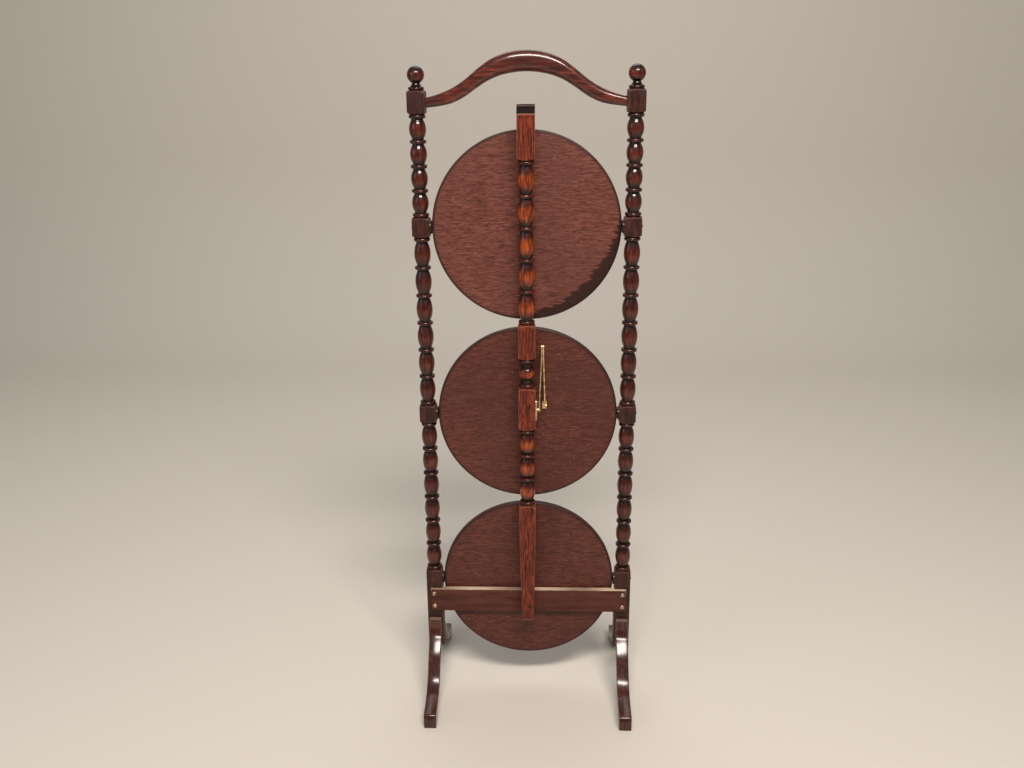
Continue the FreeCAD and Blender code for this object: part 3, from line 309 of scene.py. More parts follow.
            smooth = add_node(tree, "ShaderNodeMath", {0: dark_crescent, 1: low - self.gloss_roughness},
                              operation="MULTIPLY").outputs[0]
            rough = add_node(tree, "ShaderNodeMath", {0: rough, 1: smooth}, operation="SUBTRACT").outputs[0]
        bump = add_node(tree, "ShaderNodeBump", {"Height": pore_mask, "Strength": 0.6,
                                                 "Distance": self.pore_depth_mm * MM}, invert=True)
        tree.links.new(colour, shader.inputs["Base Color"])
        tree.links.new(rough, shader.inputs["Roughness"])
        tree.links.new(bump.outputs[0], shader.inputs["Normal"])
        shader.inputs["IOR"].default_value = 1.5
        shader.inputs["Specular IOR Level"].default_value = self.specular
        shader.inputs["Coat Weight"].default_value = self.coat
        shader.inputs["Coat Roughness"].default_value = self.coat_roughness
        return material


@dataclass(frozen=True)
class WornBrass:
    """Cast or rolled brass, rubbed bright by use, with a thin brown tarnish in broad clouds."""

    name: str
    bright: str
    tarnish: str
    roughness: Pair = (0.22, 0.42)
    cloud_mm: float = 6.0       # width of a cloud of tarnish
    scratch_mm: float = 0.5     # width of a rubbing mark
    scratch_depth_mm: float = 0.02
    levels: Pair = (0.36, 0.56)     # noise where the tarnish is full, and where it ends

    def build(self) -> bpy.types.Material:
        """Makes the material.

        Returns:
            The finished material.
        """
        material, tree, shader = start_material(self.name)
        place = add_node(tree, "ShaderNodeTexCoord").outputs["Object"]
        clouds, marks = (
            add_node(tree, "ShaderNodeTexNoise",
                     {"Vector": place, "Scale": 1.0 / (size * MM), "Detail": detail}).outputs[0]
            for size, detail in ((self.cloud_mm, 3.0), (self.scratch_mm, 2.0)))
        colour = add_node(tree, "ShaderNodeValToRGB", {0: clouds},
                          stops=((self.levels[0], self.tarnish), (self.levels[1], self.bright)))
        rough = add_node(tree, "ShaderNodeMapRange",
                         {VALUE: marks, TO_LOW: self.roughness[0], TO_HIGH: self.roughness[1]})
        bump = add_node(tree, "ShaderNodeBump", {"Height": marks, "Strength": 0.25,
                                                 "Distance": self.scratch_depth_mm * MM})
        tree.links.new(colour.outputs["Color"], shader.inputs["Base Color"])
        tree.links.new(rough.outputs[0], shader.inputs["Roughness"])
        tree.links.new(bump.outputs[0], shader.inputs["Normal"])
        shader.inputs["Metallic"].default_value = 1.0
        return material


@dataclass(frozen=True)
class MattPaint:
    """Matt studio paint with a faint roller texture."""

    name: str
    colour: str
    roughness: Pair = (0.75, 0.9)
    grain_mm: float = 3.0       # width of a mark of the roller

    def build(self) -> bpy.types.Material:
        """Makes the material.

        Returns:
            The finished material.
        """
        material, tree, shader = start_material(self.name)
        place = add_node(tree, "ShaderNodeTexCoord").outputs["Object"]
        texture = add_node(tree, "ShaderNodeTexNoise",
                           {"Vector": place, "Scale": 1.0 / (self.grain_mm * MM), "Detail": 2.0})
        rough = add_node(tree, "ShaderNodeMapRange", {
            VALUE: texture.outputs[0], TO_LOW: self.roughness[0], TO_HIGH: self.roughness[1]})
        shader.inputs["Base Color"].default_value = linear(self.colour)
        tree.links.new(rough.outputs[0], shader.inputs["Roughness"])
        return material


# Oak with a matt oiled face: the stain is even and the open pores catch it, the rim is dark, and a
# crescent at one side is darker and glossier.
TRAY_TOP_OAK = StainedWood("oiled_dark_oak_tray", Axis.X, "3a1812", "6c3b30", "835045", "562d26", "2a1210",
                           edge_share=0.85, patch_share=0.35, pore_share=0.75, contrast=0.26, streak_mm=1.5,
                           pore_mm=0.8, patch_mm=75.0, stretch=9.0, roughness=(0.42, 0.58),
                           pore_depth_mm=0.08, fleck_share=0.45, dark_crescent_circle=(-41.7, -5.0, 743.1, 166.5))
# The lower trays are a little darker and dull all over, and each has its own figure.
TRAY_MIDDLE_OAK = replace(TRAY_TOP_OAK, name="oiled_dark_oak_tray_darker", deep="30130c", body="5c2d23",
                          warm="723e32", patch="45221b", dark_crescent_circle=(), seed=37.0)
TRAY_BOTTOM_OAK = replace(TRAY_MIDDLE_OAK, name="oiled_dark_oak_tray_dull", seed=41.0)
# Turned lengths: nearly black in the grooves, built-up stain with painted shade over it, and red on
# the swells, rubbing through to the ground with a painted warm reflection, all under hard French polishing.
TURNED_OAK = StainedWood("french_polished_turning", Axis.Z, "140706", "38130c", "5a2212", "220b07", "0e0504",
                         swell_wear_and_glow="742a14", swell_wear_and_glow_share=0.45, edge_share=0.92, patch_share=0.5, pore_share=0.45,
                         contrast=0.22, streak_mm=3.0, pore_mm=0.8, patch_mm=26.0, stretch=6.0,
                         roughness=(0.4, 0.55), specular=0.12, coat=0.7, coat_roughness=0.07,
                         pore_depth_mm=0.02, seed=3.0)
# The bar's turning is handled more, and shows more of the red ground and a stronger painted warm reflection
# on its swells.
BAR_TURNED = replace(TURNED_OAK, name="handled_bar_turning", body="44180c", warm="6e2a14",
                     swell_wear_and_glow="b8521f", swell_wear_and_glow_share=0.75, coat=0.6, seed=31.0)
# Square lengths of the posts: the same stain, rubbed dull on the flats; the pale edge colour marks arrises
# paler from wearing and a painted highlight round each shoulder.
POST_FLATS = StainedWood("rubbed_post_flats", Axis.Z, "1e0d0a", "3a1a14", "52261a", "2c1a19", "7a4a3c",
                         edge_share=0.5, patch_share=0.5, pore_share=0.5, contrast=0.2, streak_mm=4.0,
                         pore_mm=0.9, patch_mm=18.0, stretch=5.0, roughness=(0.4, 0.58), specular=0.25,
                         coat=0.15, coat_roughness=0.3, seed=5.0)
# Flats of the link bar: the stain has worn through to the orange-red ground colour; the pale edge colour
# marks arrises paler from wearing and a painted highlight round each shoulder.
BAR_FLATS = StainedWood("worn_red_bar_flats", Axis.Z, "280d08", "6e2a18", "8c4024", "481e16", "b87c60",
                        edge_share=0.6, patch_share=0.45, pore_share=0.75, contrast=0.16, streak_mm=2.2,
                        pore_mm=1.0, patch_mm=22.0, stretch=10.0, roughness=(0.4, 0.55), specular=0.2,
                        coat=0.12, coat_roughness=0.2, seed=8.0)
# End grain drinks the stain and stays almost black; its border takes the pale edge colour, wearing plus a
# painted highlight.
BAR_END = StainedWood("stained_end_grain", Axis.Y, "0e0706", "1c100e", "281714", "120a09", "a07864",
                      edge_share=0.6, patch_share=0.3, contrast=0.2, streak_mm=3.0, pore_mm=0.9,
                      patch_mm=14.0, roughness=(0.6, 0.75), specular=0.12, seed=9.0)
# Handle: polished by hands, with a soft shine all along the bow.
HANDLE_OAK = StainedWood("hand_polished_bow", Axis.X, "1c0906", "541d10", "8a3e24", "2c100a", "8a4a34",
                         edge_share=0.3, patch_share=0.5, pore_share=0.55, contrast=0.24, streak_mm=2.8,
                         pore_mm=0.9, patch_mm=34.0, stretch=16.0, roughness=(0.4, 0.55), specular=0.12,
                         coat=1.0, coat_roughness=0.17, pore_depth_mm=0.03, seed=11.0)
# Legs: the same polishing over a redder face; the pale edge colour is a painted highlight on the top face
# and lighter stain on the side rims.
LEG_OAK = StainedWood("polished_leg_board", Axis.Z, "1c0907", "42180f", "6a2a18", "260e0a", "c0a894",
                      edge_share=0.6, patch_share=0.5, pore_share=0.5, contrast=0.2, streak_mm=3.2,
                      pore_mm=0.9, patch_mm=30.0, stretch=8.0, roughness=(0.4, 0.55), specular=0.1,
                      coat=1.0, coat_roughness=0.19, pore_depth_mm=0.03, seed=13.0)
# Rail: flat sawn board, stained but never polished; its top face is paler from wearing plus a painted
# highlight.
RAIL_OAK = StainedWood("matt_stained_rail", Axis.X, "36190f", "542b22", "603529", "4a2822", "d8c0a4",
                       edge_share=0.9, patch_share=0.4, pore_share=0.4, contrast=0.24, streak_mm=6.0,
                       pore_mm=1.0, patch_mm=50.0, roughness=(0.55, 0.72), specular=0.25, seed=17.0)
# Small turned washers, stained black.
WASHER_WOOD = StainedWood("black_stained_washer", Axis.Z, "120807", "20100d", "30170f", "140a08", "120807",
                          patch_share=0.3, streak_mm=2.0, pore_mm=0.6, patch_mm=15.0,
                          roughness=(0.35, 0.5), coat=0.3, seed=23.0)
# Dowels and packing pieces: plain hardwood with only a smear of stain.
PLAIN_WOOD = StainedWood("plain_hardwood", Axis.Z, "3a2015", "5f3a26", "74492f", "482a1c", "3a2015",
                         patch_share=0.3, streak_mm=3.0, pore_mm=0.7, patch_mm=25.0, seed=29.0)
STAY_BRASS = WornBrass("rubbed_yellow_brass", "ecd0a0", "b08c5c", roughness=(0.32, 0.5))
SCREW_BRASS = WornBrass("dull_pale_brass", "cdb89a", "7a6450", roughness=(0.35, 0.55), cloud_mm=4.0)
PIN_STEEL = WornBrass("browned_steel", "2b2320", "171210", roughness=(0.35, 0.5), cloud_mm=3.0)
FLOOR_PAINT = MattPaint("pale_studio_floor", "d9d2c8")

MATERIALS: dict[str, bpy.types.Material] = {}


def dressed(finish: StainedWood | WornBrass | MattPaint) -> bpy.types.Material:
    """The material of a finish, made once.

    Args:
        finish: the finish wanted.

    Returns:
        Its material.
    """
    if finish.name not in MATERIALS:
        MATERIALS[finish.name] = finish.build()
    return MATERIALS[finish.name]


# ---------------------------------------------------------------- mesh helpers

def piece(name: str, mesh_data: bmesh.types.BMesh, finishes: list, body: str, nodes: list[str],
          sharp_deg: float = 38.0) -> bpy.types.Object:
    """Turns a bmesh into a piece that rides on a body and stands for CAD nodes.

    Args:
        name: the piece's name.
        mesh_data: the mesh, in metres, in the row frame. It is freed.
        finishes: one finish per material index used by the mesh.
        body: the CAD body it rides on.
        nodes: the CAD nodes it replaces.
        sharp_deg: edges bent more than this stay sharp.

    Returns:
        The new object.
    """
    mesh = bpy.data.meshes.new(name)
    mesh_data.to_mesh(mesh)
    mesh_data.free()
    if "wear_and_light" not in mesh.attributes:
        mesh.attributes.new("wear_and_light", "FLOAT", "POINT")
    for polygon in mesh.polygons:
        polygon.use_smooth = True
    mesh.set_sharp_from_angle(angle=math.radians(sharp_deg))
    for finish in finishes:
        mesh.materials.append(dressed(finish))
    made = bpy.data.objects.new(name, mesh)
    bpy.context.scene.collection.objects.link(made)
    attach(made, body)
    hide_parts(*nodes)
    LOG.info("%s: %d faces", name, len(mesh.polygons))
    return made


def box_mm(name: str) -> tuple[Vector, Vector]:
    """Low and high corner of a CAD node's box, in millimetres."""
    low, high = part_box(name)
    return Vector(low) / MM, Vector(high) / MM


def upright(z: float, centre: Pair = (0.0, 0.0)) -> Vector:
    """Point on an upright axis, in metres, from its height and its axis' x and y in millimetres."""
    return Vector((centre[0] * MM, centre[1] * MM, z * MM))


def tidy(mesh_data: bmesh.types.BMesh) -> None:
    """Merges doubled vertices and turns all faces outwards.

    Args:
        mesh_data: the mesh to clean.
    """
    bmesh.ops.remove_doubles(mesh_data, verts=mesh_data.verts, dist=SNAP)
    bmesh.ops.dissolve_degenerate(mesh_data, edges=mesh_data.edges, dist=SNAP)
    bmesh.ops.recalc_face_normals(mesh_data, faces=mesh_data.faces)


def bevel(mesh_data: bmesh.types.BMesh, edges: list, offset: float, segments: int) -> list:
    """Bevels edges with a round profile.

    Args:
        mesh_data: the mesh.
        edges: edges to bevel.
        offset: width of the bevel in metres.
        segments: cuts across it.

    Returns:
        The new faces.
    """
    made = bmesh.ops.bevel(mesh_data, geom=edges, offset=offset, segments=segments, profile=0.5,
                           affect="EDGES", material=-1, clamp_overlap=True)
    return made["faces"]


def bisect(mesh_data: bmesh.types.BMesh, point: Vector, normal: Vector, clear: bool = False) -> list:
    """Cuts the whole mesh with a plane.

    Args:
        mesh_data: the mesh.
        point: a point on the plane.
        normal: the plane's normal.
        clear: whether the side that the normal points to is removed.

    Returns:
        The new edges on the plane.
    """
    geometry = list(mesh_data.verts) + list(mesh_data.edges) + list(mesh_data.faces)
    made = bmesh.ops.bisect_plane(mesh_data, geom=geometry, dist=PLANE_SNAP, plane_co=point, plane_no=normal,
                                  clear_outer=clear)
    return [item for item in made["geom_cut"] if isinstance(item, bmesh.types.BMEdge)]


def cut_across(mesh_data: bmesh.types.BMesh, axis: Axis, distances: list[float]) -> None:
    """Cuts the whole mesh square to an axis.

    Args:
        mesh_data: the mesh.
        axis: the axis.
        distances: where along it each cut lies, in metres.
    """
    for distance in distances:
        bisect(mesh_data, Vector(axis.value) * distance, Vector(axis.value))


def set_wear_and_light(mesh_data: bmesh.types.BMesh, faces: list, wear_and_light: float) -> None:
    """Gives all the corners of some faces one value of the attribute that holds wearing and painted light.

    Args:
        mesh_data: the mesh.
        faces: the faces.
        wear_and_light: the value, -1 to 1.
    """
    layer = mesh_data.verts.layers.float["wear_and_light"]
    for face in faces:
        for vert in face.verts:
            vert[layer] = wear_and_light


def arc_points(start: Pair, radius: float, end: Pair, count: int) -> list[Pair]:
    """Points on the arc of one bead, from neck to neck.

    Args:
        start: radius and height where the bead begins.
        radius: largest radius, at mid height.
        end: radius and height where it ends.
        count: number of steps.

    Returns:
        Radius and height pairs, both ends included.
    """
    half = abs(start[1] - end[1]) / 2
    rise = radius - start[0]
    curve = (half ** 2 + rise ** 2) / (2 * rise)
    centre = radius - curve
    middle = (start[1] + end[1]) / 2
    sweep = math.atan2(half, start[0] - centre)
    turn = -1.0 if end[1] < start[1] else 1.0
    angles = [-sweep + 2 * sweep * step / count for step in range(count + 1)]
    return [(centre + curve * math.cos(angle), middle + turn * curve * math.sin(angle)) for angle in angles]


def paint_wear_and_light(mesh_data: bmesh.types.BMesh, rule: Callable[[Vector], float]) -> None:
    """Writes the per-vertex attribute that the wood finishes read: wearing, painted shade and painted
    highlights.

    Args:
        mesh_data: the mesh.
        rule: gives the wear, -1 to 1, at a point in metres.
    """
    layer = mesh_data.verts.layers.float.get("wear_and_light") or mesh_data.verts.layers.float.new("wear_and_light")
    for vert in mesh_data.verts:
        vert[layer] = min(1.0, max(-1.0, rule(vert.co)))


def spin_profile(mesh_data: bmesh.types.BMesh, profile: list[Pair], origin: Vector, axis: Axis,
                 steps: int) -> None:
    """Spins a chain of (radius, height) pairs a full turn about an axis.

    Args:
        mesh_data: the mesh that gets the turned form.
        profile: radius and distance along the axis, in millimetres.
        origin: point on the axis where the distance is 0, in metres.
        axis: the axis of the turning.
        steps: faces round the turn.
    """
    along = Vector(axis.value)
    out = Vector((1.0, 0.0, 0.0)) if axis is not Axis.X else Vector((0.0, 0.0, 1.0))
    verts = [mesh_data.verts.new(origin + out * (radius * MM) + along * (height * MM))
             for radius, height in profile]
    edges = [mesh_data.edges.new(pair) for pair in zip(verts, verts[1:])]
    bmesh.ops.spin(mesh_data, geom=verts + edges, cent=origin, axis=along, angle=math.tau, steps=steps,
                   use_merge=True, use_normal_flip=False, use_duplicate=False)


def smooth_curve(points: list[tuple[float, ...]], steps: int) -> list[tuple[float, ...]]:
    """Catmull-Rom curve through points.

    Args:
        points: the points, each with the same number of values.
        steps: steps between two points.

    Returns:
        Points on the curve, both ends included.
    """
    padded = [points[0]] + list(points) + [points[-1]]
    result = []
    for index in range(1, len(padded) - 2):
        before, start, end, after = padded[index - 1:index + 3]
        for step in range(steps):
            t = step / steps
            result.append(tuple(
                0.5 * (2 * b + (c - a) * t + (2 * a - 5 * b + 4 * c - d) * t ** 2
                       + (3 * b - a - 3 * c + d) * t ** 3)
                for a, b, c, d in zip(before, start, end, after)))
    result.append(tuple(points[-1]))
    return result


# ---------------------------------------------------------------- turned members

@dataclass
class Turning:
    """Sizes shared by the turned posts and the link bar, in millimetres."""

    stock: float = 23.0
    bead_inset: float = 0.5
    neck_inset: float = 3.75
    neck_length: float = 1.5
    ring: float = 5.4
    shoulder: float = 5.5
    shoulder_inset: float = 2.0
    arris: float = 0.8
    steps: int = 48
    bead_cuts: int = 10
    bobbin_cuts: int = 14
    columns: tuple = (0.2, 0.4, 0.55, 0.68, 0.78, 0.86, 0.93)   # cuts, as shares of half the stock
    rows: tuple = (0.04, 0.1, 0.18, 0.27, 0.37, 0.48, 0.6, 0.73, 0.86, 1.0)     # as shares of the shoulder
    corner_spare: float = 1.0       # how far the shoulder's curve ends outside the corner
    corner_swell: float = 0.83      # fullness of that curve
    stain_and_shade_depth: float = 1.6        # height over a neck up to which stain and painted shade build up
    stain_and_shade_fade: float = 1.4
    glow_drop: float = 0.12          # how far below its middle the swell colour, rubbing with a painted warm reflection, is strongest, of its half length
    swell_colour_reach: float = 0.72         # how far the swell colour goes, of its half length
    arris_wear: float = 0.75
    # paleness of the line round each shoulder: wearing plus a painted highlight
    rim_light_and_wear: float = 0.6
    rim_width: float = 0.7
    bury: float = 1.0               # how far a turned end runs on inside the block beside it

    @property
    def half(self) -> float:
        """Half the width of the square stock."""
        return self.stock / 2

    @property
    def bead(self) -> float:
        """Largest radius of rings and bobbins."""
        return self.half - self.bead_inset

    @property
    def neck(self) -> float:
        """Radius of the grooves between them."""
        return self.half - self.neck_inset

    def run(self, z_high: float, z_low: float, bobbins: int) -> list[Pair]:
        """Profile of a turned length: a ring at each end and between each two bobbins.

        Args:
            z_high: upper end.
            z_low: lower end.
            bobbins: number of bobbins.

        Returns:
            Radius and height pairs from the top down.
        """
        length = (z_high - z_low - (bobbins + 1) * self.ring - 2 * bobbins * self.neck_length) / bobbins
        points: list[Pair] = []
        z = z_high
        for index in range(bobbins + 1):
            points += arc_points((self.neck, z), self.bead, (self.neck, z - self.ring), self.bead_cuts)
            z -= self.ring
            if index < bobbins:
                z -= self.neck_length
                points += arc_points((self.neck, z), self.bead, (self.neck, z - length), self.bobbin_cuts)
                z -= length + self.neck_length
        return points

    def ball_run(self, z_high: float, z_low: float, radius: float, neck: float) -> list[Pair]:
        """Profile of a short turned length: a ball between two rings.

        Args:
            z_high: upper end.
            z_low: lower end.
            radius: radius of the ball.
            neck: radius of the necks beside it.

        Returns:
            Radius and height pairs from the top down.
        """
        middle = (z_high + z_low) / 2
        half = math.sqrt(radius ** 2 - neck ** 2)
        points = arc_points((self.neck, z_high), self.bead, (self.neck, z_high - self.ring), self.bead_cuts)
        points.append((neck, z_high - self.ring - self.neck_length))
        points += arc_points((neck, middle + half), radius, (neck, middle - half), 2 * self.bead_cuts)
        points.append((neck, z_low + self.ring + self.neck_length))
        points += arc_points((self.neck, z_low + self.ring), self.bead, (self.neck, z_low), self.bead_cuts)
        return points

    def turn(self, mesh_data: bmesh.types.BMesh, profile: list[Pair], centre: Pair) -> None:
        """Turns one stretch about an upright axis.

        Args:
            mesh_data: the mesh that gets it.
            profile: radius and height pairs.
            centre: x and y of the axis.
        """
        spin_profile(mesh_data, profile, upright(0.0, centre), Axis.Z, self.steps)

    def swells(self, profile: list[Pair]) -> list[Pair]:
        """Middle height and half length of each bobbin or ball of a turned stretch.

        Args:
            profile: radius and height pairs, from the top down.

        Returns:
            Height and half length pairs.
        """
        ends = [z for radius, z in profile if radius < self.neck + 0.01]
        return [((high + low) / 2, (high - low) / 2) for high, low in zip(ends, ends[1:])
                if high - low > self.ring * 2]

    def groove(self, centre: Pair, swells: list[Pair]) -> Callable[[Vector], float]:
        """Rule of a turned member: stain and painted shade darken the grooves, and the swells show rubbing
        and a painted warm reflection.

        Args:
            centre: x and y of the axis.
            swells: middle height and half length of each bobbin.

        Returns:
            The rule.
        """
        def rule(point: Vector) -> float:
            """Falls from 1 in a neck to 0 on a ring and -1 on a swell."""
            radius = math.hypot(point.x / MM - centre[0], point.y / MM - centre[1])
            # darkest in the necks: built-up stain plus painted shade
            dark = max(0.0, (self.neck + self.stain_and_shade_depth - radius) / self.stain_and_shade_fade)
            middle, half = min(swells, key=lambda swell: abs(swell[0] - point.z / MM))
            # strongest a little below each swell's middle, where the painted warm reflection sits
            offset = (point.z / MM - middle + self.glow_drop * half) / (self.swell_colour_reach * half)
            return dark - max(0.0, 1.0 - offset ** 2)
        return rule

    def envelope(self, depth: float) -> float:
        """Largest radius left by the rounding at a depth below a block's end.

        Args:
            depth: distance from the end of the block.

        Returns:
            The radius.
        """
        start = self.half - self.shoulder_inset
        corner = self.half * math.sqrt(2) + self.corner_spare
        share = min(1.0, max(0.0, depth / self.shoulder))
        if share == 1.0:
            return math.inf
        return start + (corner - start) * share * (1 + self.corner_swell * (1 - share))

    def square(self, z_high: float, z_low: float, centre: Pair, round_high: bool = True,
               round_low: bool = True) -> bmesh.types.BMesh:
        """Square length with eased arrises and rounded shoulders.

        Args:
            z_high: upper end.
            z_low: lower end.
            centre: x and y of the axis.
            round_high: whether the upper end has a shoulder.
            round_low: whether the lower end has one.

        Returns:
            The mesh, in metres, with material index 1.
        """
        block = bmesh.new()
        size = (self.stock * MM, self.stock * MM, (z_high - z_low) * MM)
        matrix = Matrix.Translation(upright((z_high + z_low) / 2)) @ Matrix.Diagonal((*size, 1.0))
        bmesh.ops.create_cube(block, size=1.0, matrix=matrix)
        corners = [e for e in block.edges if abs((e.verts[0].co - e.verts[1].co).z) > size[2] * 0.9]
        bevel(block, corners, self.arris * MM, 3)
        depths = [share * self.shoulder for share in self.rows]
        levels = [z_high - depth for depth in depths] if round_high else []
        levels += [z_low + depth for depth in depths] if round_low else []
        cut_across(block, Axis.Z, [level * MM for level in levels])
        for share in self.columns:
            for offset in (-share * self.half * MM, share * self.half * MM):
                cut_across(block, Axis.X, [offset])
                cut_across(block, Axis.Y, [offset])
        layer = block.verts.layers.float.new("wear_and_light")
        for vert in block.verts:
            x, y, z = (part / MM for part in vert.co)
            limit = min(self.envelope(z_high - z) if round_high else math.inf,
                        self.envelope(z - z_low) if round_low else math.inf)
            radius = math.hypot(x, y)
            on_arris = min(abs(x), abs(y)) > self.half - self.arris * 0.9
            # arrises are paler from wearing; the line round each shoulder is paler from wearing plus a
            # painted highlight
            rim = 1 - abs(radius - limit) / self.rim_width
            vert[layer] = max(self.arris_wear if on_arris else 0.0, min(self.rim_light_and_wear, rim))
            if radius > limit:
                vert.co.x *= limit / radius
                vert.co.y *= limit / radius
        for face in block.faces:
            face.material_index = 1
        bmesh.ops.translate(block, verts=block.verts, vec=upright(0.0, centre))
        tidy(block)
        return block


def joined(target: bmesh.types.BMesh, source: bmesh.types.BMesh) -> None:
    """Adds one mesh to another and frees it.

    Args:
        target: the mesh that grows.
        source: the mesh added.
    """
    buffer = bpy.data.meshes.new("buffer")
    source.to_mesh(buffer)
    source.free()
    target.from_mesh(buffer)
    bpy.data.meshes.remove(buffer)


@dataclass
class Layout:
    """Heights and distances of the stand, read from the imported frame, in millimetres."""

    handle_over_tray: float = 33.0
    pivot: dict[Tier, float] = field(default_factory=dict)
    hinge_rise: float = 0.0
    stay_z: float = 0.0
    post_x: float = 0.0
    post_foot: float = 0.0
    tray_radius: float = 0.0
    tray_half: float = 0.0
    bar_axis_y: float = 0.0
    bar_foot: float = 0.0

    def __post_init__(self) -> None:
        """Reads the joints and boxes from the frame."""
        height = {joint["name"]: joint["pos_m"][2] / MM for joint in frame["record"]["behaviour"]["joints"]}
        self.pivot = {tier: height[f"tray_{tier.value}_pivot"] for tier in Tier}
        self.hinge_rise = height["link_bar_hinge"] - self.pivot[Tier.MIDDLE]
        self.stay_z = height["stay_bar_arm_pivot"]
        low, high = box_mm("tray_middle")
        self.tray_radius = (high.z - low.z) / 2
        self.tray_half = (high.y - low.y) / 2
        low, high = box_mm("post_right")
        self.post_x = (low.x + high.x) / 2
        self.post_foot = low.z
        low, high = box_mm("link_bar")
        self.bar_axis_y = (low.y + high.y) / 2
        self.bar_foot = low.z

    @property
    def joint_z(self) -> float:
        """Height of the handle's ends."""
        return self.pivot[Tier.TOP] + self.tray_radius + self.handle_over_tray


@dataclass
class Posts:
    """The two bobbin-turned posts with their ball finials."""

    layout: Layout
    turning: Turning
    bobbins: tuple = (4, 6, 6)
    block_height: float = 27.0
    block_over_joint: float = 15.5
    block_under_joint: float = 14.0
    low_block_over_pivot: float = 16.6
    ball_rise: float = 18.6
    ball_neck_inset: float = 6.35
    collar_inset: float = 1.2
    collar_height: float = 4.2
    collar_cuts: int = 12
    ball_cuts: int = 24
    stem_shares: tuple = (0.3, 0.55, 0.75, 0.9)

    def finial(self, z_base: float) -> list[Pair]:
        """Profile of the finial, from the top of the ball to the block.

        Args:
            z_base: top of the block.

        Returns:
            Radius and height pairs.
        """
        centre = z_base + self.ball_rise
        ball = self.turning.bead
        neck = self.turning.half - self.ball_neck_inset
        collar = self.turning.half - self.collar_inset
        rim = collar - self.collar_height / 2
        end = math.pi - math.asin(neck / ball)
        angles = [end * step / self.ball_cuts for step in range(self.ball_cuts + 1)]
        points = [(ball * math.sin(angle), centre + ball * math.cos(angle)) for angle in angles]
        stem_high = points[-1][1]
        stem_low = z_base + self.collar_height
        for share in self.stem_shares:
            points.append((neck + (rim - neck) * share ** 2, stem_high + (stem_low - stem_high) * share))
        points += arc_points((rim, stem_low), collar, (rim, z_base), self.collar_cuts)
        return points

    def blocks(self) -> list[Pair]:
        """Upper and lower height of each square block, from the top down."""
        half = self.block_height / 2
        pivot = self.layout.pivot
        joint_z = self.layout.joint_z
        return [
            (joint_z + self.block_over_joint, joint_z - self.block_under_joint),
            (pivot[Tier.TOP] + half, pivot[Tier.TOP] - half),
            (pivot[Tier.MIDDLE] + half, pivot[Tier.MIDDLE] - half),
            (pivot[Tier.BOTTOM] + self.low_block_over_pivot, self.layout.post_foot),
        ]

    def build(self) -> None:
        """Makes both posts."""
        blocks = self.blocks()
        neck, bury = self.turning.neck, self.turning.bury
        for side, word in ((-1, "left"), (1, "right")):
            centre = (side * self.layout.post_x, 0.0)
            mesh_data = bmesh.new()
            self.turning.turn(mesh_data, self.finial(blocks[0][0]) + [(neck, blocks[0][0] - bury)], centre)
            swells = [(blocks[0][0] + self.ball_rise, self.turning.bead)]
            for bobbins, upper, lower in zip(self.bobbins, blocks, blocks[1:]):
                run = self.turning.run(upper[1], lower[0], bobbins)
                self.turning.turn(mesh_data, [(neck, upper[1] + bury), *run, (neck, lower[0] - bury)], centre)
                swells += self.turning.swells(run)
            tidy(mesh_data)
            paint_wear_and_light(mesh_data, self.turning.groove(centre, swells))
            for index, (upper, lower) in enumerate(blocks):
                joined(mesh_data, self.turning.square(upper, lower, centre, round_low=index < 3))
            piece(f"turned_post_{word}", mesh_data, [TURNED_OAK, POST_FLATS], "frame", [f"post_{word}"])


